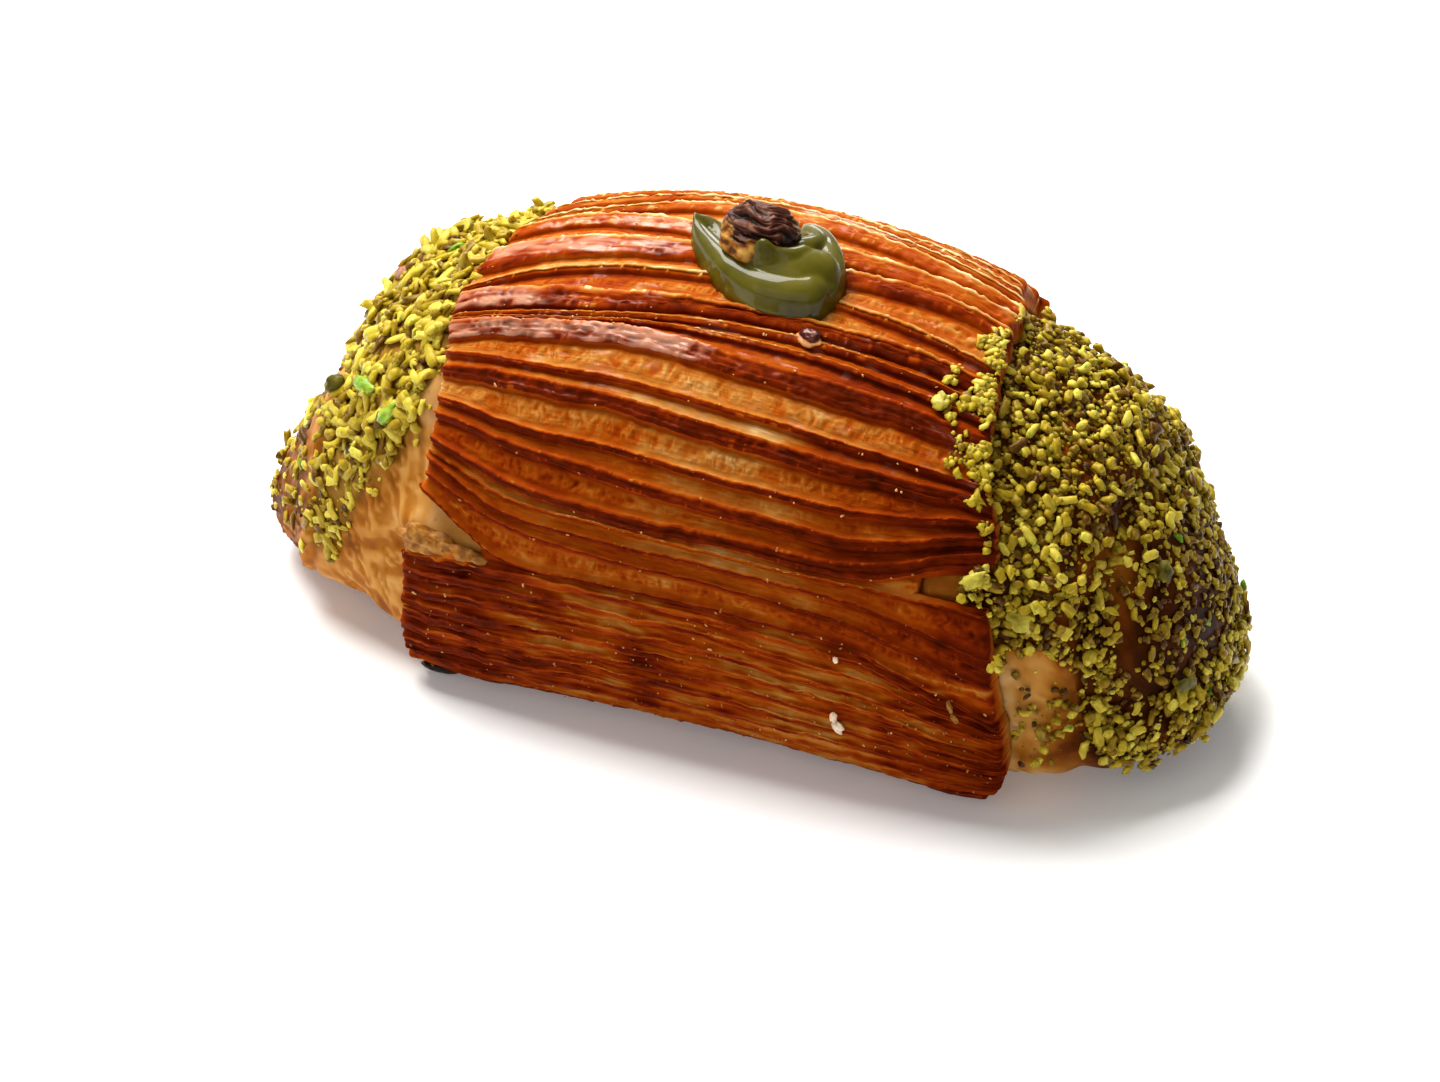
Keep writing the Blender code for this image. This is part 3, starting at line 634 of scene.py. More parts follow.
# The sheet's ends: girth in its middle and X
END_LEFT = (
    (0.0, -36.6), (10.2, -38.8), (22.0, -36.8), (32.0, -35.5), (43.0, -34.4), (52.6, -34.8),
    (53.6, -35.6), (54.6, -37.0), (54.9, -38.2), (66.7, -38.8), (78.5, -37.8),
)
END_RIGHT = (
    (0.0, 40.5), (22.0, 45.5), (32.2, 49.0), (43.2, 50.5), (44.75, 50.2), (45.25, 50.4),
    (48.0, 52.0), (56.0, 54.0), (66.7, 54.5), (72.0, 53.8), (78.5, 50.2),
)
# Where the sheet splits into two flaps: the upper edge, at the first station, of the ridge below
# the split, X of the split's inner end, and the shares of the recess between which it is open
NOTCHES = ((54.6, -24.5, 0.04, 0.66), (38.9, 41.0, 0.04, 0.93))


def curve(x, places, values):
    """A smooth curve through values at places: cubic pieces with the slopes of the chords."""
    slopes = np.gradient(values, places)
    k = np.clip(np.searchsorted(places, x) - 1, 0, len(places) - 2)
    gap = places[k + 1] - places[k]
    t = (x - places[k]) / gap
    inside = np.clip(t, 0.0, 1.0)
    a, b = values[k], values[k + 1]
    da, db = slopes[k] * gap, slopes[k + 1] * gap
    t2, t3 = inside**2, inside**3
    blend = a * (2 * t3 - 3 * t2 + 1) + b * (3 * t2 - 2 * t3)
    blend += da * (t3 - 2 * t2 + inside) + db * (t3 - t2)
    return blend + (t - inside) * np.where(t < 0, da, db)


def sheet_at(x):
    """Distance of the sheet's face from the roll: a little more towards the sheet's ends."""
    lift = np.where(x < SHEET_MIDDLE, *END_LIFT)
    return SHEET + lift * smooth((abs(x - SHEET_MIDDLE) - 28.0) / 18.0)


# The sheet's face from the crown to the foot, as a table over X and girth
table_x = np.linspace(-46.0, 62.0, 217)
table_girth = np.linspace(0.0, GIRTH, 401)
rows_of_table = []
for x in table_x:
    angles = np.linspace(math.pi / 2, -math.pi / 2, 500)
    y, z = section_point(np.full(500, x), angles, sheet_at(x), SOLE + 0.3)
    foot = np.argmax((z < FOOT_HEIGHT) & (angles < 0.0)) + 1
    y, z, angles = y[:foot], z[:foot], angles[:foot]
    run = np.concatenate([[0.0], np.cumsum(np.hypot(np.diff(y), np.diff(z)))])
    dy, dz = np.gradient(y), np.gradient(z)
    length = np.hypot(dy, dz) + 1e-9
    at = table_girth / GIRTH * run[-1]
    rows_of_table.append([np.interp(at, run, c) for c in (y, z, dz / length, -dy / length, angles)])
girth_table = np.moveaxis(np.array(rows_of_table), 1, 2)


def wrap_place(x, girth):
    """Points of the wrap's face, its outward normals across X, and the roll's angle there."""
    i = (np.clip(x, table_x[0], table_x[-1] - 1e-6) - table_x[0]) / (table_x[1] - table_x[0])
    j = np.clip(np.abs(girth), 0.0, GIRTH - 1e-6) / (table_girth[1] - table_girth[0])
    i0, j0 = i.astype(int), j.astype(int)
    fi, fj = (i - i0)[..., None], (j - j0)[..., None]
    near = girth_table[i0, j0] * (1 - fj) + girth_table[i0, j0 + 1] * fj
    far = girth_table[i0 + 1, j0] * (1 - fj) + girth_table[i0 + 1, j0 + 1] * fj
    y, z, ny, nz, angle = np.moveaxis(near * (1 - fi) + far * fi, -1, 0)
    side = np.where(girth < 0, -1.0, 1.0)
    angle = np.where(girth < 0, math.pi - angle, angle)
    return np.stack([x, y * side, z], -1), np.stack([0 * x, ny * side, nz], -1), angle


def sheet_x(girth, along, cut=None):
    """X of the line whose girth in the middle is given, from the left end (-1) to the right
    (1). Behind the crown the ends lie further in. A cut line stops at the split, where its
    outer part is drawn together."""
    down = np.abs(girth)
    left, right = read(down, END_LEFT), read(down, END_RIGHT)
    x = (left + right) / 2 + (right - left) / 2 * along
    share = down / GIRTH
    lag = np.where(along < 0, BACK_LAG[0][0], BACK_LAG[1][0])
    pace = np.where(along < 0, BACK_LAG[0][1], BACK_LAG[1][1])
    lost = smooth((share - LAG_LOST[0]) / (LAG_LOST[1] - LAG_LOST[0]))
    behind_by = lag * smooth(pace * share) * (1 - lost) * along * np.abs(along)
    x -= np.where(girth < 0, behind_by, 0.0)
    if cut is not None:
        x = np.where((x - cut) * np.sign(cut) > 0, cut + 0.02 * (x - cut), x)
    return x


# A ridge or a recess as control lines: share of its width, shift in mm, and height in shares
# of the ridge's relief. Shifts shrink on narrow ones, which also have fewer lines.
RIDGE_LINES = (
    (0.0, 0.0, 1.15), (0.0, 0.18, 1.25), (0.0, 0.45, 1.0), (0.3, 0.0, 0.95), (0.6, 0.0, 1.0),
    (1.0, -0.45, 1.0), (1.0, -0.15, 0.8),
)
RECESS_LINES = (
    (0.0, 0.05, 0.3), (0.0, 0.0, -0.5), (0.0, 0.10, -0.95), (0.0, 0.40, -1.0), (0.5, 0.0, -0.75),
    (1.0, -0.50, -0.35), (1.0, -0.15, -0.10), (1.0, -0.03, 0.55),
)
NARROW = 1.0
ROW_PITCH, BACK_PITCH = 0.30, 0.7
SEAMS = (-28.5, 15.5, 48.5)  # girths in the middle where the sheet's pieces meet
FACE_COLUMNS, WALL_COLUMNS, INSIDE_COLUMNS = 292, 3, 14
END_STEPS = (0.0, 0.0035, 0.009, 0.018)  # columns close to an end, as shares of the half length
SOLE_STEPS = (0.985, 0.965, 0.8, 0.5, 0.2, -0.2, -0.5, -0.8, -0.965, -0.985)

# The ridges behind the crown repeat those of the lower front
REPEATED_FROM = 26.0
ridges = [np.array(r) for r in RIDGES]
behind = []
for r in ridges:
    if r[2] > REPEATED_FROM:
        widths = np.interp(STATIONS, WIDTHS_AT, r[WIDTH])
        behind.append(np.concatenate([-(r[EDGE] + widths), r[6:]]))
ridges = behind[::-1] + ridges


def ridge_edges(index, x):
    """Girth of a ridge's upper edge at x, and its width there, with the waver of hand-laid
    dough and a ragged lip."""
    r = ridges[index]
    width = np.interp(x, WIDTHS_AT, r[WIDTH])
    top = curve(x, STATIONS, r[EDGE])
    loose = np.minimum(1.0, width / 1.2)
    line = index + 0.5
    top += loose * (0.22 * noise(x / 11.0, line, 101) + 0.10 * noise(x / 3.1, line, 102))
    top += 0.08 * noise(x / 0.9, line, 103) + 0.06 * noise(x / 0.45, line, 106)
    on_flap = rise(top, 54.0, 2.0) * fall(top, 77.5, 2.0)
    top += on_flap * (0.42 * noise(x / 9.0, line, 107) + 0.24 * noise(x / 3.4, line, 108))
    width = width * (1.0 + 0.16 * noise(x / 7.0, line, 104) + 0.08 * noise(x / 2.2, line, 105))
    return top, width


def lines_between(lines, width, pitch):
    """Rows for a ridge or recess: its control lines, and more where it is wide."""
    share, shift, height = np.array(lines).T
    if width < NARROW:
        keep = [0, 1, 3, 5, 6] if lines is RIDGE_LINES else [1, 2, 4, 6]
        share, shift, height = share[keep], shift[keep], height[keep]
    at = [0.0]
    for k in range(len(share) - 1):
        gap = (share[k + 1] - share[k]) * width
        at += list(k + np.arange(1, max(1, round(gap / pitch)) + 1) / max(1, round(gap / pitch)))
    steps = np.arange(len(share))
    return [np.interp(at, steps, c) for c in (share, shift, height)]


# Every line of the sheet, from the back foot over the crown to the front foot: for each column
# its X, girth, height over the sheet's face, and marks for the material
end_steps = np.array(END_STEPS) - 1.0
inner = np.linspace(-1.0 + 0.032, 1.0 - 0.032, FACE_COLUMNS)
along = np.concatenate([end_steps, inner, -end_steps[::-1]])
inside_along = np.linspace(1.0, -1.0, INSIDE_COLUMNS)


def edge_lines(index, x):
    """The lower edge of the ridge before a recess, and the upper edge of the one after it."""
    start = ridge_edges(index, x) if index >= 0 else (np.full_like(x, -GIRTH), 0.0)
    above = start[0] + start[1]
    below = ridge_edges(index + 1, x)[0] if index + 1 < len(ridges) else np.full_like(x, GIRTH)
    return above, np.maximum(below, above + 0.12)


def cut_above(index):
    """1 for the recess that opens in the left split, else 0."""
    return float(index + 1 < len(ridges) and ridges[index + 1][0] == NOTCHES[0][0])


def middle_girth(index):
    """The girths of a ridge's upper and lower edge in its middle."""
    r = ridges[index]
    top = float(curve(np.array(SHEET_MIDDLE), STATIONS, r[EDGE]))
    return top, top + r[7]


sheet_lines = []
for index in range(-1, len(ridges)):
    above = middle_girth(index)[1] if index >= 0 else -GIRTH
    below = middle_girth(index + 1)[0] if index + 1 < len(ridges) else GIRTH
    upper_edge, lower_edge = edge_lines(index, STATIONS)
    pitch = ROW_PITCH if below > -16.0 else BACK_PITCH
    cut = None
    open_from, open_to = 1.0, 0.0
    for first, x_cut, lower_share, upper_share in NOTCHES:
        if index + 1 < len(ridges) and ridges[index + 1][0] == first:
            cut, open_from, open_to = x_cut, lower_share, upper_share
    rows = lines_between(RECESS_LINES, (lower_edge - upper_edge).max(), pitch)
    for share, shift, height in zip(*rows):
        opened = cut if open_from < share < open_to else None
        middle = above + share * (below - above)
        sheet_lines.append(("recess", index, share, shift, height, middle, opened))
    if index + 1 < len(ridges):
        top, bottom = middle_girth(index + 1)
        width = ridges[index + 1][WIDTH].max()
        for share, shift, height in zip(*lines_between(RIDGE_LINES, width, pitch)):
            middle = top + share * (bottom - top)
            sheet_lines.append(("ridge", index + 1, share, shift, height, middle, None))

# Where the ridges are glossiest, and get a pale painted sheen in their colour: girths and X between
# which the ridges are glazed
GLAZED_WITH_SHEEN = (
    (19.0, 23.6, -42.0, 9.0),
    (13.4, 18.9, -42.0, -20.0),
    (4.2, 8.4, -42.0, -3.0),
    (-1.6, 2.2, -34.0, -3.0),
    (-12.8, -9.6, 2.0, 24.0),
)

# Along the lower flap the crust is darker in some columns, as pairs of X and how much, and from
# a girth on its lowest edge curls inwards
COLUMNS = (
    (-38, 0.18), (-30, 0.18), (-20, 0.10), (-14, 0.03), (-8, -0.08), (-4, -0.10), (0, 0.04),
    (4, 0.06), (12, 0.02), (18, -0.08), (28, -0.06), (36, 0.0), (44, 0.08), (50, 0.14), (54, 0.16),
)
FOOT_GIRTH = 75.0
FOOT_CURL = 0.9

rows = []  # face points, inside points, then the marks bake, gloss and layer
for kind, index, share, shift, height, middle, opened in sheet_lines:
    line = index + 0.5
    middle = np.clip(middle, -GIRTH, GIRTH)
    jag = 0.5 * noise(middle / 1.6, 0.5, 111) + 0.25 * noise(middle / 0.5, 0.5, 112)
    x = sheet_x(middle, along, opened)
    x += jag * np.where(along < 0, -1.0, 1.0) * np.abs(along) ** 9
    if kind == "ridge":
        top, width = ridge_edges(index, x)
        uneven = 0.35 + 0.45 * rise(middle, 53.0, 2.0)
        relief = 0.8 * ridges[index][RELIEF] * (1.0 + uneven * noise(x / 7.0, line, 121))
    else:
        top, bottom = edge_lines(index, x)
        width = bottom - top
        relief = 0.42 * np.minimum(1.0, 0.5 + width / 3.0)
    more_shift = 1.0 + 0.7 * fall(middle, 26.0, 16.0)
    girth = top + share * width + shift * np.minimum(1.0, width / 1.2) * more_shift
    girth = np.clip(girth, -GIRTH, GIRTH)
    lift = height * relief
    if kind == "ridge":
        # Blistered skin, with a crease where the layer folded and a lip with beads below it
        broad = rise(width, 1.2, 0.9)
        blister = noise(x / 1.3 + 0.6 * noise(x / 2.6, girth / 1.3, 150), girth / 0.75, 132)
        blister = 0.6 - 2.0 * np.abs(blister)
        lift += 0.12 * noise(x / 2.3, girth / 1.2, 131) + (0.05 + 0.12 * broad) * blister
        from_fold = (share - 0.55 - 0.22 * noise(x / 8.0, line, 138)) * width
        crease = broad * bell(from_fold, 0.0, 0.22)
        lip = broad * bell(from_fold, 0.36, 0.2)
        bead = noise(x / 0.5, line + np.round(share), 139) + 0.6 * noise(x / 4.0, line, 140)
        bead = rise(bead, 0.45, 0.3)
        lift += lip * (0.12 + 0.12 * bead) - 0.28 * crease
        # Painted light in the ridge's colour: the crease and the ridge's lower part are painted
        # darker as shade, and the blisters' crests paler as highlights
        bake = ridges[index][BROWN] + 0.10 * rough(x / 5.0, line, 133)
        bake += 0.08 * noise(x / 1.3, girth / 0.7, 134) - 0.09 * broad * blister
        bake += 0.05 * rise(girth, 22.0, 6.0) * (1.0 + fall(x, -14.0, 12.0))
        bake += 0.10 * rise(share, 0.7, 0.3) + 0.10 * crease - 0.40 * lip * bead
        # Glazed ridges are glossier, and the material paints a pale sheen on them
        glazed_with_sheen = 0.0
        for first, last, at_left, at_right in GLAZED_WITH_SHEEN:
            across = rise(girth, first, 0.7) * fall(girth, last, 0.7)
            glazed_with_sheen = np.maximum(glazed_with_sheen, across * fall(x, at_right, 7.0) * rise(x, at_left, 3.0))
        glazed_with_sheen = glazed_with_sheen * (0.75 + 0.45 * noise(x / 2.6, girth / 0.45, 158))
        patchy = smooth((noise(x / 3.2, girth / 0.9, 135) - 0.25) / 0.35)
        gloss = 0.30 + 0.55 * glazed_with_sheen + 0.26 * patchy + 0.10 * blister
        # The thin upper lip is painted pale as a highlight, most on the crown
        if share < 0.02 and shift < 0.2:  # the thin upper lip
            painted_lip_highlight = 0.45 + 0.35 * fall(girth, 26.0, 16.0)
            painted_lip_highlight = painted_lip_highlight * (0.80 + 0.35 * noise(x / 1.7, line, 136))
            bake += painted_lip_highlight * (0.03 - bake) - 0.25 * bead
            lift += 0.12 * noise(x / 0.8, line, 137) + 0.14 * bead
        elif share > 0.98:  # the lower edge
            bake -= 0.35 * bead
            lift += 0.12 * bead
    else:
        # Crumb in slanting ripples. Its colour is darker where narrow, partly browner and partly
        # painted shade, has a painted shadow right under the ridge above, and the ripples' troughs
        # are darker than their crests, partly the crumb's tone and partly painted shade
        below = ridges[index + 1] if index + 1 < len(ridges) else ridges[index]
        wide = rise(width, 1.8, 1.4) * np.sin(math.pi * np.clip(share, 0, 1))
        slant = x / 0.72 + 1.1 * noise(x / 2.2, girth / 1.5, 141)
        ripple = 1.5 - 2.0 * np.abs(noise(slant, girth / 1.7 + 0.2 * x, 142))
        ripple -= np.abs(noise(x / 0.45, girth / 0.8, 148))
        lift += wide * (0.22 * ripple + 0.15 * noise(x / 5.0, girth / 2.0, 143))
        lift += (1.0 - wide) * 0.08 * noise(x / 0.9, girth / 0.5, 149)
        bake = below[RECESS_BROWN] + 0.08 * rough(x / 5.0, girth / 1.5, 144)
        bake += 0.16 * np.exp(-width / 0.9)
        beige = rise(girth, 20.0, 6.0) * rise(x, -12.0, 24.0) * fall(x, 44.0, 12.0)
        bake += 0.12 * noise(x / 13.0, index * 1.7 + 0.5, 157) - 0.09 * beige * smooth(width / 1.5)
        bake += 0.24 * np.exp(-share * width / 0.25) - 0.15 * wide * (ripple - 0.45)
        gloss = 0.30 + 0.30 * smooth((noise(x / 2.4, girth / 0.9, 145) - 0.3) / 0.4)
        torn = fall(x, -24.0, 3.0) * cut_above(index) * rise(share, 0.55, 0.1)
        lift += torn * (0.9 + 0.45 * rough(x / 2.2, girth / 1.4, 146))
        bake += torn * (0.16 + 0.16 * noise(x / 1.1, girth / 0.9, 147) - bake)
        gloss = gloss * (1.0 - 0.7 * torn)
    # The ends are rounded and the foot curls in; the flap is streaked along its thin layers
    end = np.minimum(x - x[0], x[-1] - x)
    lift -= 0.7 * (1.0 - np.sqrt(1.0 - (1.0 - np.clip(end / 0.9, 0.0, 1.0)) ** 2))
    lift -= FOOT_CURL * rise(girth, FOOT_GIRTH, 3.5)
    lower = rise(girth, 53.0, 2.0)
    streaks = 0.22 * noise(x / 7.5, girth / 0.7, 152) + 0.13 * noise(x / 6.0, girth / 2.0, 153)
    streaks += 0.20 * noise(x / 3.2, girth / 0.42, 154) + read(x, COLUMNS)
    bake += lower * (0.45 * (0.55 - bake) + streaks)
    layers = 0.17 * noise(x / 8.0, girth / 0.42, 155) + 0.10 * noise(x / 1.2, girth / 0.5, 156)
    lift += rise(girth, 36.0, 4.0) * (0.5 + 0.5 * lower) * layers
    # Above the flap it is browner towards both ends, darker low down, and painted paler on the
    # crown, a painted glow where the back light falls
    browner = 0.10 * fall(x, -14.0, 16.0) * rise(girth, 24.0, 6.0)
    browner += 0.16 * rise(x, 41.0, 6.0) * rise(girth, 8.0, 10.0)
    browner += 0.20 * rise(x, 14.0, 16.0) * rise(girth, -4.0, 8.0) + 0.07 * rise(girth, 29.0, 4.0)
    bake += (1.0 - lower) * browner - 0.24 * fall(girth, 18.0, 14.0)
    bake += np.where(x < 0, -0.20, 0.10) * np.exp(-end / 0.7)
    bake = np.clip(bake, 0.28 * lower, 0.90)
    gloss = gloss * (1.0 - 0.75 * rise(girth, 26.0, 14.0))
    at, out, _ = wrap_place(x, girth)
    inside_x = sheet_x(middle, inside_along, opened)
    _, _, angle = wrap_place(inside_x, np.interp(inside_x, x, girth))
    inside = np.stack([inside_x, *section_point(inside_x, angle, INSIDE_GAP)], axis=-1)
    rows.append((at + lift[:, None] * out, inside, bake, gloss, np.full_like(x, middle)))

# Under the roll: from the front foot to the back one, flat on the table
foot_x, back_x = sheet_x(GIRTH, along), sheet_x(-GIRTH, along)
front_foot, back_foot = rows[-1][0][:, 1], rows[0][0][:, 1]
for step in SOLE_STEPS:
    share = (1.0 - step) / 2.0
    x = foot_x * (1 - share) + back_x * share
    y = front_foot * (1 - share) + back_foot * share
    low = np.full_like(x, 0.45 if abs(step) > 0.98 else 0.0)
    inside_x = np.interp(inside_along, along, x)
    angle = np.interp(share, (0.0, 0.5, 1.0), (-1.0, -math.pi / 2, 1.0 - math.pi))
    angle = np.full_like(inside_x, angle)
    inside = np.stack([inside_x, *section_point(inside_x, angle, INSIDE_GAP)], axis=-1)
    marks = (np.full_like(x, mark) for mark in (0.8, 0.3, GIRTH + 6.0 * share))
    rows.append((np.stack([x, y, low], axis=-1), inside, *marks))
outer, inner_side, face_bake, face_gloss, face_layer = (np.array(part) for part in zip(*rows))
wall_steps = np.arange(1, WALL_COLUMNS + 1)[None, :, None] / (WALL_COLUMNS + 1)
right_wall = outer[:, -1:] + wall_steps * (inner_side[:, :1] - outer[:, -1:])
left_wall = inner_side[:, -1:] + wall_steps * (outer[:, :1] - inner_side[:, -1:])
sleeve = drawn_in(np.concatenate([outer, right_wall, inner_side, left_wall], axis=1))
sleeve_rows, sleeve_columns = sleeve.shape[:2]
wall_bake = np.linspace(0.5, 0.3, WALL_COLUMNS)
hidden_bake = np.concatenate([wall_bake, np.full(INSIDE_COLUMNS, 0.2), wall_bake[::-1]])
sleeve_bake = np.concatenate([face_bake, np.tile(hidden_bake, (sleeve_rows, 1))], axis=1)
sleeve_gloss = np.concatenate([face_gloss, np.full((sleeve_rows, len(hidden_bake)), 0.2)], axis=1)
hidden_layer = np.repeat(face_layer[:, :1], len(hidden_bake), axis=1)
sleeve_layer = np.concatenate([face_layer, hidden_layer], axis=1)

# Egg-washed crust: the wash browns to a thin clear varnish on the ridges, so they glint, while
# the crumb between them is matt and pale. The ramp runs from raw-looking crumb to burnt edge.
crust, add, shader = new_material("egg_washed_crust")
mark = add("Attribute", attribute_name="bake")
shine = add("Attribute", attribute_name="gloss")
place = add("TexCoord")
layer = add("Attribute", attribute_name="layer")
run = add("SeparateXYZ", Vector=place)
down = add("Math", operation="MULTIPLY", _0=layer, _1=1.9)
run_x = add("Math", operation="MULTIPLY", _0=run.outputs["X"], _1=360.0)
strata = add("CombineXYZ", X=run_x, Y=down)
fibre = add("TexNoise", Vector=strata, Scale=1.0, Detail=3.0)
blotch = add("TexNoise", Vector=place, Scale=260.0, Detail=3.0)
mixed = add("Math", operation="ADD", _0=fibre, _1=blotch)
spread = add("Math", operation="SUBTRACT", _0=mixed, _1=1.0)
tone = add("Math", operation="MULTIPLY_ADD", _0=spread, _1=0.30, _2=mark)
ramp = add(
    "ValToRGB",
    Fac=tone,
    stops=[
        (0.0, "E6C28A"), (0.12, "BE9054"), (0.26, "B06E28"), (0.44, "A04A08"), (0.62, "8E3202"),
        (0.82, "6A1C02"), (1.0, "380C00"),
    ],
)
# Painted sheen: where the gloss mark is highest the colour is mixed towards a pale pink, a painted
# reflection of the softboxes on the glaze
painted_sheen = add("MapRange", Value=shine, From_Min=0.55, From_Max=0.95, To_Max=0.62)
colour_and_sheen = add("Mix", data_type="RGBA", _0=painted_sheen, _6=ramp, _7=linear("D49C7C"))
matt = add("MapRange", Value=shine, To_Min=0.62, To_Max=0.30)
glaze = add("MapRange", Value=shine, From_Min=0.42, To_Max=0.60)
bump = add("Bump", Strength=0.6, Distance=0.0003, Height=mixed)
feed(
    shader,
    Base_Color=colour_and_sheen, Roughness=matt, Coat_Weight=glaze, Normal=bump, IOR=1.45,
    Specular_IOR_Level=0.04, Specular_Tint=(1.0, 0.55, 0.22, 1.0), Coat_Roughness=0.2,
    Subsurface_Weight=0.1, Subsurface_Radius=(1.0, 0.3, 0.06), Subsurface_Scale=0.0015,
)


def sleeve_part(name, rows):
    """A run of the sleeve's rows as a closed piece: its ends are capped by strips between the
    inside points and the face points over them."""
    points = sleeve[rows]
    faces = grid_faces(len(rows), sleeve_columns, columns_join=True)
    face_count = outer.shape[1]
    first_inside = face_count + WALL_COLUMNS
    each = (face_count - 1) // (INSIDE_COLUMNS - 1)
    for base, forward in ((0, False), ((len(rows) - 1) * sleeve_columns, True)):
        for k in range(INSIDE_COLUMNS - 1):
            strip = [first_inside + k, first_inside + k + 1]
            if k == INSIDE_COLUMNS - 2:
                strip += list(range(first_inside + INSIDE_COLUMNS, sleeve_columns))
            start = face_count - 1 - (k + 1) * each if k < INSIDE_COLUMNS - 2 else 0
            strip += list(range(start, face_count - k * each))
            if k == 0:
                strip += list(range(face_count, first_inside))
            faces.append([base + s for s in (strip if forward else strip[::-1])])
    part = make_piece(
        name,
        points,
        faces,
        crust,
        "crust",
        bake=sleeve_bake[rows],
        gloss=sleeve_gloss[rows],
        layer=sleeve_layer[rows],
    )
    for cap in part.data.polygons[-2 * (INSIDE_COLUMNS - 1) :]:
        cap.use_smooth = False
    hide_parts("laminated_wrap")


line_middles = np.array([line[5] for line in sheet_lines])
under_row = len(sheet_lines) + len(SOLE_STEPS) // 2
seam_rows = [int(np.argmax(line_middles > seam)) for seam in SEAMS] + [under_row]
for name, first, last in zip(("wrap_crown", "wrap_front", "wrap_flap"), seam_rows, seam_rows[1:]):
    sleeve_part(name, np.arange(first, last + 1))
back_rows = [np.arange(under_row, sleeve_rows), np.arange(seam_rows[0] + 1)]
sleeve_part("wrap_back", np.concatenate(back_rows))

# ---------------------------------------------------------------- chopped pistachio
# Green pistachio kernels chopped to crumbs and strewn on the horns while the glaze is wet: skin
# side brown, cut sides yellow-green. At the right some are sunk in the glaze and more lie on
# them, with fine grains between; the left has larger ones in a heap. Each is a lumpy rod.

# kind: how many are drawn, half thickness range in mm, length range as shares of it, the side,
# the height of the middles over the dough in half thicknesses, and the mean tint
# At the right the crumbs that lie low in the pile have darker mean tints, partly soaked in glaze
# and partly painted shade in the gaps under the crumbs on top
CRUMBS = {
    "rods_right": (3000, (0.32, 0.68), (1.1, 2.4), "right", 0.5, 0.24),
    "rods_upper": (3600, (0.32, 0.78), (1.1, 2.6), "right", 2.0, 0.47),
    "grains_right": (5200, (0.15, 0.34), (1.0, 1.6), "right", 1.6, 0.44),
    "worms_left": (3000, (0.38, 0.82), (1.3, 3.6), "left", 0.6, 0.45),
    "worms_upper": (2300, (0.50, 0.94), (1.6, 4.2), "clump", 1.0, 0.50),
    "grains_left": (1900, (0.16, 0.36), (1.0, 1.8), "left", 0.6, 0.50),
    "rods_sunk": (2600, (0.30, 0.62), (1.1, 2.4), "right", 0.3, 0.20),
}
FLATTER = 0.35  # the share of its height that a crumb loses as it lies on its ground


def ball(steps):
    """The points and triangles of a ball of 20 triangles, split in four as often as asked."""
    gold = (1 + math.sqrt(5)) / 2
    points = [(0, s, t * gold) for s in (-1, 1) for t in (-1, 1)]
    points += [(s, t * gold, 0) for s in (-1, 1) for t in (-1, 1)]
    points += [(s * gold, 0, t) for s in (-1, 1) for t in (-1, 1)]
    points = np.array(points, float)
    near = np.linalg.norm(points[:, None] - points[None], axis=-1) < 2.1
    faces = []
    for a in range(12):
        for b in range(a + 1, 12):
            for c in range(b + 1, 12):
                if near[a, b] and near[b, c] and near[a, c]:
                    turned = np.cross(points[b] - points[a], points[c] - points[a]) @ points[a]
                    faces.append((a, b, c) if turned > 0 else (a, c, b))
    points = points / np.linalg.norm(points[0])
    faces = np.array(faces)
    for _ in range(steps):
        a, b, c = (points[faces[:, k]] for k in range(3))
        middles = [(a + b) / 2, (b + c) / 2, (c + a) / 2]
        n = len(faces)
        fresh = np.concatenate([a, b, c, *middles])
        i, j, k, l, m, o = (np.arange(n) + n * s for s in range(6))
        corners = ((i, l, o), (l, j, m), (o, m, k), (l, m, o))
        split = np.concatenate([np.stack(f, -1) for f in corners])
        points, back = np.unique(fresh.round(9), axis=0, return_inverse=True)
        faces = back.ravel()[split]
        points = points / np.linalg.norm(points, axis=1, keepdims=True)
    return points, faces


def turns(rng, count):
    """Random turns, as matrices: from four normal draws each, made a unit quaternion."""
    w, x, y, z = (lambda q: q / np.linalg.norm(q, axis=0))(rng.normal(size=(4, count)))
    rows = (
        (1 - 2 * (y * y + z * z), 2 * (x * y - z * w), 2 * (x * z + y * w)),
        (2 * (x * y + z * w), 1 - 2 * (x * x + z * z), 2 * (y * z - x * w)),
        (2 * (x * z - y * w), 2 * (y * z + x * w), 1 - 2 * (x * x + y * y)),
    )
    return np.moveaxis(np.array(rows), -1, 0)


def rods(count, lengths, steps, rng):
    """Lumpy rods of half thickness 1: balls whose thickness stays near 1 towards the ends,
    drawn out to each length, bent and knobbly."""
    points, faces = ball(steps)
    x, y, z = points.T
    fuller = ((1.0 - x**4) ** 0.25 + 1e-6) / (np.sqrt(1.0 - np.minimum(x**2, 0.999)) + 1e-3)
    fuller = np.where(np.abs(x) > 0.99, 1.0, np.minimum(fuller, 1.6))
    knobs = 1.0 + 0.12 * rng.normal(size=(count, len(points)))
    bend = rng.normal(0.0, 0.30, count)[:, None] * lengths[:, None]
    thick = fuller * knobs
    parts = [x * lengths[:, None] * knobs, y * thick + bend * (x**2 - 0.4), z * thick * 0.85]
    return np.stack(parts, axis=-1), faces


def skewed(rng, limits, count, power):
    """Random sizes between two limits, more of them near the lower one at a higher power."""
    return limits[0] + (limits[1] - limits[0]) * rng.random(count) ** power


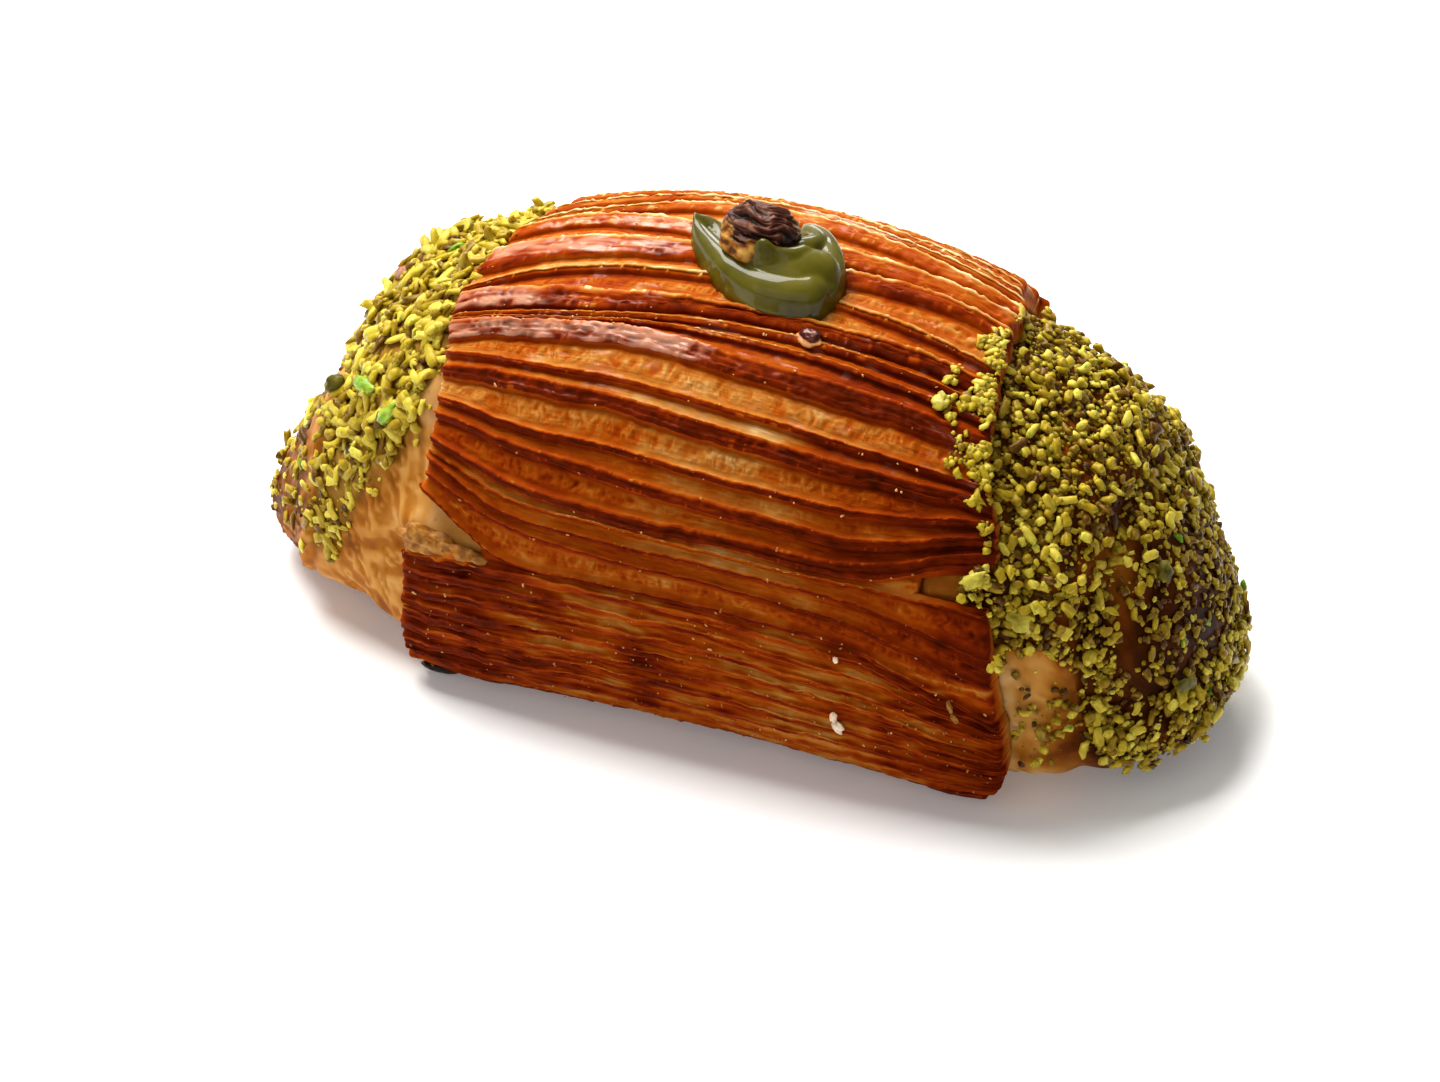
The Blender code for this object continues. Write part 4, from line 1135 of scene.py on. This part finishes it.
def scatter(name, centres, outs, radii, lengths, tints, material, slot, seed, steps=1):
    """One mesh of lumpy rods: each is turned at random, made flatter along its ground's
    outward normal, and put at its centre."""
    rng = np.random.default_rng(seed)
    count = len(centres)
    shape, faces = rods(count, lengths, steps, rng)
    turned = np.einsum("nij,nkj->nki", turns(rng, count), shape * radii[:, None, None])
    height = np.sum(turned * outs[:, None], axis=-1, keepdims=True)
    placed = turned - FLATTER * height * outs[:, None] + centres[:, None]
    size = shape.shape[1]
    faces = (faces[None] + (np.arange(count) * size)[:, None, None]).reshape(-1, 3).tolist()
    tint = np.repeat(tints, size) + 0.05 * rng.normal(size=count * size)
    return make_piece(name, placed, faces, material, slot, tint=tint)


# Chopped pistachio: matt, slightly oily cut faces, from brown skin over olive to fresh green.
nut_crumb, add, shader = new_material("chopped_pistachio")
mark = add("Attribute", attribute_name="tint")
place = add("TexCoord")
fleck = add("TexNoise", Vector=place, Scale=1400.0, Detail=3.0)
tone = add("Math", operation="MULTIPLY_ADD", _0=fleck, _1=0.30, _2=mark)
ramp = add(
    "ValToRGB",
    Fac=tone,
    stops=[
        (0.10, "301403"), (0.28, "5E3A05"), (0.48, "8E7210"), (0.68, "B29A1E"), (0.90, "D6C44A"),
        (1.0, "6C9A20"),
    ],
)
bump = add("Bump", Strength=0.5, Distance=0.00015, Height=fleck)
feed(
    shader,
    Base_Color=ramp, Normal=bump, Roughness=0.38, IOR=1.47, Specular_IOR_Level=0.3,
    Specular_Tint=(1.0, 0.85, 0.5, 1.0), Subsurface_Weight=0.15,
    Subsurface_Radius=(1.0, 0.7, 0.2), Subsurface_Scale=0.0012,
)

STREWN_X = {"right": (39.0, 75.0), "left": (-75.0, -33.0), "clump": (-61.0, -35.0)}
STREWN_ANGLES = (-0.9, 4.2)
TINT_SPREAD, TINT_MOST = 0.18, 0.72
FRESH_TINT, FRESH_SHARE = 0.90, 0.004  # a few crumbs are bright green
for order, (name, (drawn, thick, long, side, lift, mean_tint)) in enumerate(CRUMBS.items()):
    rng = np.random.default_rng(700 + order)
    x = rng.uniform(*STREWN_X[side], drawn)
    angle = rng.uniform(*STREWN_ANGLES, drawn)
    at, out = roll_point(x, angle)
    kept = rng.random(drawn) < strewn(x, angle, at[:, 2])
    if side == "clump":
        kept &= at[:, 2] > 31.0 + 6.0 * noise(x / 4.0, angle * 4.0, 61)
    if lift > 1.5:  # none on top of the right tip
        kept &= (x < 66.0) | (at[:, 2] < 16.0)
    x, angle, at, out = x[kept], angle[kept], at[kept], out[kept]
    radii = skewed(rng, thick, len(x), 1.8)
    lengths = skewed(rng, long, len(x), 2.0)
    centres = at + out * (clump(x, angle, at[:, 2]) + lift * radii)[:, None]
    # Crumbs at the right tip get lighter tints: painted light that lifts the shade they lie in
    tints = rng.normal(mean_tint, TINT_SPREAD, len(x)) + 0.08 * rise(x, 60.0, 6.0)
    tints = np.clip(tints, 0.0, TINT_MOST)
    tints = np.where(rng.random(len(x)) < FRESH_SHARE, FRESH_TINT, tints)
    steps = 0 if "grains" in name else 1
    look = (tints, nut_crumb, "dough")
    scatter("pistachio_" + name, centres, out, radii, lengths, *look, 720 + order, steps)

# Crumbs that fell on the wrap beside the right horn, fewer the further they lie from it: pairs
# of girth and how far they reach, and of girth and the share of the draws that is kept
SPILT_DRAWN = 1500
SPILT_REACH = ((-9, 0.3), (0, 0.8), (6, 2.5), (14, 4.4), (24, 4.6), (30, 1.6), (38, 1.2), (50, 1.0))
SPILT_SHARE = ((-9, 0.1), (2, 0.3), (8, 1.0), (24, 1.0), (28, 0.35), (38, 0.3), (50, 0.5))
rng = np.random.default_rng(760)
girth = rng.uniform(-9.0, 50.0, SPILT_DRAWN)
right_end = sheet_x(np.clip(girth * 1.12, -20.0, 60.0), np.ones(SPILT_DRAWN))
inwards = read(girth, SPILT_REACH)
kept = rng.random(SPILT_DRAWN) < read(girth, SPILT_SHARE)
x = right_end - 1.6 * inwards * rng.random(SPILT_DRAWN) ** 1.3
thinned = 0.45 * rng.random(SPILT_DRAWN) - 0.35 + 0.25 * (right_end - x) / inwards
kept &= noise(x / 2.2, girth / 2.2, 762) > thinned
x, girth = x[kept], girth[kept]
at, out, _ = wrap_place(x, girth)
radii = skewed(rng, (0.2, 0.7), len(x), 2.0)
lengths = skewed(rng, (1.0, 2.6), len(x), 2.0)
tints = np.clip(rng.normal(0.50, 0.14, len(x)), 0.1, TINT_MOST)
at = at + out * (0.35 + 0.4 * radii)[:, None]
scatter("pistachio_spilt", at, out, radii, lengths, tints, nut_crumb, "crust", 761)

# ---------------------------------------------------------------- beads on the ridges
# Where the egg wash and melted butter boiled out of the cut layers they dried as tiny golden
# beads, which sit along the edges of the ridges and all over the lower flap.

BEADS_ON_EDGE, BEADS_ON_FLAP = 20, 380
BEAD_HALF = (0.09, 0.20)

amber_bead, add, shader = new_material("dried_wash_bead")
mark = add("Attribute", attribute_name="tint")
ramp = add("ValToRGB", Fac=mark, stops=[(0.1, "8E4A12"), (0.5, "B87430"), (0.9, "E0B070")])
feed(shader, Base_Color=ramp, Roughness=0.35, Specular_IOR_Level=0.25)

rng = np.random.default_rng(640)
bead_x, bead_girth, bead_lift = [], [], []
for index, r in enumerate(ridges):
    if -16.0 < r[2] < 54.0:
        x = rng.uniform(-38.0, 52.0, BEADS_ON_EDGE)
        top, width = ridge_edges(index, x)
        bead_x.append(x)
        bead_girth.append(top + width * np.where(rng.random(BEADS_ON_EDGE) < 0.5, 0.95, 0.05))
        bead_lift.append(np.full(BEADS_ON_EDGE, 0.85 * r[RELIEF]))
bead_x.append(rng.uniform(-38.0, 54.0, BEADS_ON_FLAP))
bead_girth.append(rng.uniform(54.0, 76.0, BEADS_ON_FLAP))
bead_lift.append(rng.uniform(0.1, 0.4, BEADS_ON_FLAP))
bead_x, bead_girth, bead_lift = (np.concatenate(b) for b in (bead_x, bead_girth, bead_lift))
ends = [sheet_x(bead_girth, np.full_like(bead_x, side)) for side in (-1.0, 1.0)]
kept = (bead_x > ends[0] + 0.6) & (bead_x < ends[1] - 0.6)
kept &= noise(bead_x / 4.0, bead_girth / 4.0, 641) > -0.25
bead_x, bead_girth, bead_lift = bead_x[kept], bead_girth[kept], bead_lift[kept]
at, out, _ = wrap_place(bead_x, bead_girth)
at = drawn_in(at) + out * bead_lift[:, None]
radii = skewed(rng, BEAD_HALF, len(at), 2.0)
lengths = skewed(rng, (1.0, 2.4), len(at), 2.0)
tints = rng.uniform(0.1, 0.9, len(at))
scatter("beads_on_wrap", at, out, radii, lengths, tints, amber_bead, "crust", 642, 0)

# ---------------------------------------------------------------- pistachio cream
# A soft nut cream, dropped from a spoon: a pulled tip at the left, and folds that run round a
# hollow in which the nut sits. It is smooth and glossy, so it shows the softboxes.

CREAM_CENTRE = (7.0, -5.0)
CREAM_MOUND = (7.5, -5.0, 9.5, 8.5, 2.2)  # X, Y, half sizes, height
# ropes of cream as points: X, Y, height over the wrap, radius
CREAM_ROPES = (
    # the front band, from the pulled tip to the right
    (
        (-5.9, -3.6, 4.2, 0.4), (-5.0, -4.6, 3.0, 0.9), (-3.2, -6.2, 2.2, 1.5),
        (-0.2, -8.6, 1.9, 1.9), (3.6, -11.0, 1.8, 2.3), (7.6, -12.3, 1.6, 2.6),
        (11.6, -12.2, 1.5, 3.0), (15.0, -11.2, 1.4, 3.2),
    ),
    # a thin leaf behind the tip
    (
        (-5.6, -3.6, 3.8, 0.5), (-4.2, -3.0, 2.8, 1.0), (-2.4, -3.4, 1.8, 1.4),
        (-0.6, -5.4, 1.2, 1.6),
    ),
    # the broad lobe in front of the nut
    (
        (5.2, -9.6, 1.6, 2.2), (8.6, -9.8, 2.6, 2.8), (12.2, -9.2, 3.0, 3.2),
        (15.0, -7.8, 2.4, 3.2),
    ),
    # the fold down the right and round the back
    (
        (16.2, -9.0, 1.0, 2.6), (16.0, -5.4, 1.8, 2.2), (14.2, -2.4, 2.2, 2.0),
        (11.8, 0.6, 1.8, 1.9), (9.4, 3.0, 1.0, 1.6), (7.9, 4.6, 0.6, 0.9),
    ),
    # the inner fold against the nut
    (
        (9.8, -6.4, 3.6, 1.3), (11.8, -5.2, 3.8, 1.5), (12.6, -3.0, 3.4, 1.5),
        (11.6, -0.8, 2.8, 1.4), (9.8, 1.2, 2.0, 1.3),
    ),
    # a thin leaf that stands up before the nut
    (
        (5.4, -11.0, 3.0, 0.9), (6.6, -11.1, 4.6, 0.7), (7.8, -11.0, 7.4, 0.6),
        (9.6, -10.7, 6.4, 0.7), (11.8, -9.8, 5.8, 0.9), (12.8, -8.0, 5.0, 1.2),
    ),
)
CREAM_COLUMNS, CREAM_RINGS = 240, 96


def crown_height(x, y):
    """Height of the wrap's face over the table at x and y, near the crown."""
    half, top, bottom, _ = section_sizes(x)
    half, top = half + sheet_at(x), top + sheet_at(x)
    middle = bottom + BELLY * (top - bottom)
    across = np.clip(np.abs(y) / half, 0.0, 0.999)
    return middle + (top - middle) * (1.0 - across**ROUND_TOP) ** (1.0 / ROUND_TOP)


def cream_height(x, y):
    """Height of the cream over the wrap: the smooth maximum of a mound and of each rope."""
    mid_x, mid_y, half_x, half_y, height = CREAM_MOUND
    away = ((x - mid_x) / half_x) ** 2 + ((y - mid_y) / half_y) ** 2
    heights = [height * np.sqrt(np.maximum(1.0 - away, 0.0)) - 2.0 * (away > 1.0)]
    for rope in CREAM_ROPES:
        path = np.array(rope)
        steps = np.linspace(0, len(path) - 1, 12 * len(path))
        spine = [curve(steps, np.arange(len(path), dtype=float), path[:, c]) for c in range(4)]
        near = np.hypot(x[..., None] - spine[0], y[..., None] - spine[1])
        near /= np.maximum(spine[3], 0.3)
        top = spine[2] + spine[3] * np.sqrt(np.maximum(1.0 - near**2, 0.0)) * 0.9
        heights.append(np.where(near < 1.0, top, -2.0).max(axis=-1))
    return np.max(heights, axis=0)


cream_angles = np.linspace(0.0, 2.0 * math.pi, CREAM_COLUMNS, endpoint=False)
reach = np.linspace(1.0, 20.0, 381)
ray_x = CREAM_CENTRE[0] + reach[None] * np.cos(cream_angles)[:, None]
ray_y = CREAM_CENTRE[1] + reach[None] * np.sin(cream_angles)[:, None]
covered = cream_height(ray_x, ray_y) > 0.05
cream_reach = np.array([reach[c].max() for c in covered])
kernel = np.array([1.0, 2.0, 3.0, 2.0, 1.0])
cream_reach = sum(w * np.roll(cream_reach, s) for w, s in zip(kernel, range(-2, 3))) / kernel.sum()
ring_shares = np.linspace(0.02, 1.0, CREAM_RINGS) ** 0.8
cream_x = CREAM_CENTRE[0] + ring_shares[:, None] * cream_reach * np.cos(cream_angles)
cream_y = CREAM_CENTRE[1] + ring_shares[:, None] * cream_reach * np.sin(cream_angles)
soft = [(dx, dy) for dx in (-0.22, 0.0, 0.22) for dy in (-0.22, 0.0, 0.22)]
cream_lift = sum(cream_height(cream_x + dx, cream_y + dy) for dx, dy in soft) / len(soft)
cream_lift = np.maximum(cream_lift, 0.05)
cream_z = crown_height(cream_x, cream_y) + cream_lift + 0.3
top_rings = np.stack([cream_x, cream_y, cream_z], axis=-1)
edge_x, edge_y = cream_x[-1], cream_y[-1]
under = np.stack([edge_x, edge_y, crown_height(edge_x, edge_y) - 1.2], axis=-1)
cream_hubs = [top_rings[0].mean(axis=0), (*CREAM_CENTRE, under[:, 2].mean() + 0.4)]
cream_points, cream_faces = capped(np.concatenate([top_rings, under[None]]), cream_hubs)

pistachio_cream, add, shader = new_material("pistachio_cream")
place = add("TexCoord")
swirl = add("TexNoise", Vector=place, Scale=180.0, Detail=2.0)
ramp = add("ValToRGB", Fac=swirl, stops=[(0.3, "443E02"), (0.5, "524C03"), (0.7, "625A08")])
feed(
    shader,
    Base_Color=ramp, Roughness=0.45, IOR=1.46, Specular_IOR_Level=0.1, Coat_Weight=0.45,
    Coat_Roughness=0.08, Subsurface_Weight=0.08, Subsurface_Radius=(0.9, 1.0, 0.3),
    Subsurface_Scale=0.002,
)
cream = make_piece("cream_swirl", cream_points, cream_faces, pistachio_cream, "cream")
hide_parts("pistachio_cream")

# ---------------------------------------------------------------- the roasted nut
# One shelled, roasted pistachio-like kernel: papery purple-brown skin, wrinkled as it dried,
# rubbed off at the lower left, where the cream-yellow flesh shows.

NUT_CENTRE = (5.6, -6.2, 70.1)
NUT_RADII = (6.1, 4.8, 4.2)
NUT_ROWS, NUT_COLUMNS = 130, 200
NUT_SIDE = (0.914, 0.407, 0.0)  # from its bare end to its far one
NUT_UP = (-0.216, 0.484, 0.848)  # towards its back
NUT_FACE = (0.345, -0.775, 0.530)
# lumps of flesh: shares along side, up and face, then height and width
FLESH_LUMPS = ((-0.42, -0.58, 0.70, 0.24, 0.36), (-0.90, -0.30, 0.32, 0.16, 0.30))

nut_lat = np.linspace(-math.pi / 2, math.pi / 2, NUT_ROWS + 2)[1:-1]
nut_lon = np.linspace(0.0, 2.0 * math.pi, NUT_COLUMNS, endpoint=False)
lat, lon = np.meshgrid(nut_lat, nut_lon, indexing="ij")
way = np.stack([np.cos(lat) * np.cos(lon), np.cos(lat) * np.sin(lon), np.sin(lat)], axis=-1)
aside, aloft, facing_us = (way @ np.array(axis) for axis in (NUT_SIDE, NUT_UP, NUT_FACE))
lobes = 0.07 * np.sin(3.1 * aside + 1.0) * np.cos(2.7 * aloft - 0.4)
lobes += 0.04 * np.sin(6.0 * aside + 3.0 * aloft)
lumps = np.zeros_like(lobes)
for side_share, up_share, face_share, high, wide in FLESH_LUMPS:
    apart = (aside - side_share) ** 2 + (aloft - up_share) ** 2 + (facing_us - face_share) ** 2
    lump = high * np.exp(-apart / wide**2)
    lobes += lump
    lumps += lump
torn_edge = 0.10 * noise(aside * 4.0, aloft * 4.0 + facing_us, 303)
skin_reach = -0.16 - 1.1 * np.maximum(aside + 0.25, 0.0)
flesh = smooth((skin_reach - aloft + torn_edge) / 0.08)
flesh = np.maximum(flesh, smooth((-0.76 - aside + torn_edge) / 0.08))
flesh = np.maximum(flesh, 0.7 * smooth((aside + 0.25 * aloft + torn_edge - 0.84) / 0.06))
flow = 2.8 * aside + 5.8 * aloft + 1.1 * noise(aside * 2.2, aloft * 2.2 + facing_us * 2.0, 304)
folds = noise(flow, 1.6 * aside - 0.8 * aloft + facing_us, 301)
fine = noise(flow * 2.3, 4.0 * aside + 2.0 * facing_us, 302)
wrinkle = (1.0 - 2.4 * np.abs(folds)) * 0.55 + (1.0 - 2.0 * np.abs(fine)) * 0.35
wrinkle = wrinkle * (1.0 - 0.8 * flesh)
# pitted darkens the crevices between the flesh's lumps: painted shade
pitted = flesh * (0.9 * lumps - 0.16 + 0.12 * noise(aside * 6.0, aloft * 6.0 + facing_us, 305))
nut_radii = np.array(NUT_RADII) * (1.0 + lobes[..., None]) + 0.66 * wrinkle[..., None]
nut_points, nut_faces = capped(way * nut_radii + NUT_CENTRE)

roasted, add, shader = new_material("roasted_kernel_skin")
mark = add("Attribute", attribute_name="flesh")
crease = add("Attribute", attribute_name="crease")
place = add("TexCoord")
speck = add("TexNoise", Vector=place, Scale=900.0, Detail=4.0)
# The crease mark paints light into the skin and flesh: darker in wrinkle valleys and crevices as
# painted shade, paler on the crests as painted highlights
skin_tone = add("Math", operation="MULTIPLY_ADD", _0=speck, _1=0.5, _2=crease)
skin = add(
    "ValToRGB",
    Fac=skin_tone,
    stops=[
        (0.1, "120503"), (0.45, "2A0F08"), (0.75, "4C2416"), (1.0, "8E6248"),
    ],
)
pulp = add("ValToRGB", Fac=skin_tone, stops=[(0.30, "4A2406"), (0.42, "96601C"), (0.62, "CFA454")])
both = add("Mix", data_type="RGBA", _0=mark, _6=skin, _7=pulp)
feed(
    shader,
    Base_Color=both, Roughness=0.42, IOR=1.47, Specular_IOR_Level=0.18,
    Specular_Tint=(1.0, 0.75, 0.6, 1.0),
)
nut = make_piece(
    "kernel_wrinkled",
    nut_points,
    nut_faces,
    roasted,
    "nut",
    flesh=np.append(flesh.ravel(), [1.0, 0.0]),
    crease=np.append((0.20 + 0.55 * wrinkle + pitted).ravel(), [0.3, 0.3]),
)
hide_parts("roasted_nut")

# ---------------------------------------------------------------- loose bits
# Single larger pieces that lie on the pastry: bright and dull green pistachio, a piece of nut
# with its pink-brown skin, a chip of dark fruit skin with a pale rim, and flakes of dry dough.
# Each is a lumpy rod, laid along the surface.

def speckled(name, grain, stops, roughness, specular=0.5, bubbles=0.0):
    """A material whose colour varies in fine specks; grain is their number in a metre."""
    made, add, shader = new_material(name)
    speck = add("TexNoise", Vector=add("TexCoord"), Scale=grain, Detail=3.0)
    ramp = add("ValToRGB", Fac=speck, stops=stops)
    feed(shader, Base_Color=ramp, Roughness=roughness, Specular_IOR_Level=specular)
    if bubbles:
        feed(shader, Normal=add("Bump", Strength=bubbles, Distance=0.0003, Height=speck))
    return made


# Pistachio is oily and satin, dry flakes are chalky, fruit skin and burnt sugar are glossy
FRESH_GREEN = [(0.3, "5E7E14"), (0.5, "7FA428"), (0.7, "A8B840")]
DULL_OLIVE = [(0.3, "3A3608"), (0.5, "5E5614"), (0.7, "7E7430")]
PALE_GREEN = [(0.3, "8A7A12"), (0.5, "B2A430"), (0.7, "D2C658")]
PINK_BROWN = [(0.3, "6A3418"), (0.5, "98583A"), (0.7, "C08E72")]
CRUMB_GOLD = [(0.34, "7E4A10"), (0.5, "9E661E"), (0.66, "BC8438")]
green_nut = speckled("fresh_pistachio", 700.0, FRESH_GREEN, 0.35, 0.3)
dull_nut = speckled("pistachio_skin_side", 700.0, DULL_OLIVE, 0.4, 0.15)
pale_nut = speckled("pale_pistachio", 600.0, PALE_GREEN, 0.4, 0.25)
pink_skin = speckled("pistachio_pink_skin", 500.0, PINK_BROWN, 0.4, 0.25)
torn = speckled("torn_bubbly_crumb", 900.0, CRUMB_GOLD, 0.5, 0.2, bubbles=0.6)
dry_flake = speckled("dried_dough_flake", 1500.0, [(0.3, "D9B48C"), (0.6, "F3E0C8")], 0.6)
burnt = speckled("burnt_sugar_drip", 500.0, [(0.3, "0C0503"), (0.7, "2A1008")], 0.3, 0.15)
dark_skin = speckled("dark_fruit_skin", 500.0, [(0.3, "200604"), (0.7, "4E160C")], 0.25)
feed(dark_skin.node_tree.nodes["Principled BSDF"], Specular_Tint=(1.0, 0.7, 0.6, 1.0))
RAGGED = {torn: 2.4, dry_flake: 2.4, green_nut: 1.7, pale_nut: 1.8}  # how much lumpier they are

# name: on the roll or the wrap, X, angle in degrees or girth in mm, half sizes along, across and
# outwards, turn from X towards the crown in degrees, lift, material
BITS = {
    "green_sliver_upper": ("roll", -48.6, 46.0, (3.0, 1.0, 0.9), -42.0, 1.3, green_nut),
    "green_sliver_lower": ("roll", -42.6, 36.0, (2.0, 1.2, 0.8), 10.0, 1.3, green_nut),
    "dull_piece_left": ("roll", -56.6, 53.0, (1.7, 1.4, 1.3), 0.0, 2.0, dull_nut),
    "pink_skinned_piece": ("roll", -51.0, 88.0, (2.3, 1.2, 1.1), -25.0, 1.2, pink_skin),
    "pale_piece_right": ("roll", 54.4, 22.0, (2.2, 1.3, 0.6), -15.0, 1.2, pale_nut),
    "pale_piece_middle": ("wrap", 49.0, 38.2, (2.0, 0.9, 0.5), 35.0, 1.2, pale_nut),
    "pale_piece_crown": ("wrap", 37.8, 17.0, (1.3, 1.3, 0.6), 50.0, 0.9, pale_nut),
    "dull_piece_right": ("roll", 67.6, 66.0, (1.7, 1.1, 0.9), -40.0, 1.2, dull_nut),
    "dull_flake_right": ("roll", 72.6, 24.0, (2.2, 1.0, 0.35), 80.0, 1.6, dull_nut),
    "crust_spike_left": ("roll", -69.0, -14.0, (1.9, 0.7, 0.6), 160.0, -0.6, dough),
    "torn_crumb_large": ("wrap", -33.4, 52.4, (4.6, 2.1, 1.3), -6.0, 0.0, torn),
    "torn_crumb_small": ("wrap", -27.4, 53.6, (3.8, 1.3, 0.9), -8.0, 0.2, torn),
    "fruit_skin_chip": ("wrap", 17.6, 15.0, (1.7, 1.15, 0.6), -12.0, 0.8, dark_skin),
    "fruit_skin_rim": ("wrap", 17.5, 15.5, (1.95, 1.3, 0.3), -12.0, 0.45, amber_bead),
    "dough_flake_large": ("wrap", 31.0, 66.2, (0.8, 1.0, 0.3), 30.0, 0.5, dry_flake),
    "dough_flake_upper": ("wrap", 30.4, 64.6, (0.5, 0.8, 0.3), -10.0, 0.5, dry_flake),
    "dough_flake_small": ("wrap", 30.6, 55.6, (0.35, 0.5, 0.2), 0.0, 0.4, dry_flake),
    "dough_flake_right": ("wrap", 47.2, 58.4, (0.35, 0.9, 0.25), 20.0, 0.4, torn),
    "dough_flake_below": ("wrap", 47.9, 60.2, (0.4, 0.7, 0.25), 40.0, 0.4, torn),
    "burnt_drip": ("wrap", -34.6, 77.8, (3.0, 0.9, 0.8), 0.0, 0.3, burnt),
}
for order, (name, (ground, x, where, half_sizes, turn, lift, material)) in enumerate(BITS.items()):
    x, where, turn = np.array([x]), np.array([where]), math.radians(turn)
    if ground == "roll":
        at, out = roll_point(x, np.radians(where))
        lift += clump(x, np.radians(where), at[:, 2])[0]
    else:
        at, out, _ = wrap_place(x, where)
    at, out = drawn_in(at)[0], out[0] / np.linalg.norm(out[0])
    aside = np.cross((0.0, 1.0, 0.0), out) if abs(out[1]) < 0.9 else np.cross(out, (0.0, 0.0, -1.0))
    aside = aside / np.linalg.norm(aside)
    aloft = np.cross(out, aside)
    cosine, sine = math.cos(turn), math.sin(turn)
    axes = np.array([cosine * aside + sine * aloft, cosine * aloft - sine * aside, out])
    points, faces = ball(3)
    px, py, pz = points.T
    ragged = RAGGED.get(material, 1.0)
    lumps = 1.0 + 0.16 * ragged * noise(px * 2.0 + order, py * 2.0 + pz, 901)
    lumps += 0.06 * ragged * noise(px * 6.0 + order, py * 6.0 + 2.0 * pz, 902)
    placed = at + lift * out + (points * lumps[:, None] * half_sizes) @ axes
    placed[:, 2] = np.maximum(placed[:, 2], 0.05)
    slot = "dough" if ground == "roll" else "crust"
    marks = {"tint" if material is amber_bead else "bake": np.full(len(points), 0.45)}
    make_piece("bit_" + name, placed, faces.tolist(), material, slot, **marks)

# ---------------------------------------------------------------- sizes

low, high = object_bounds()
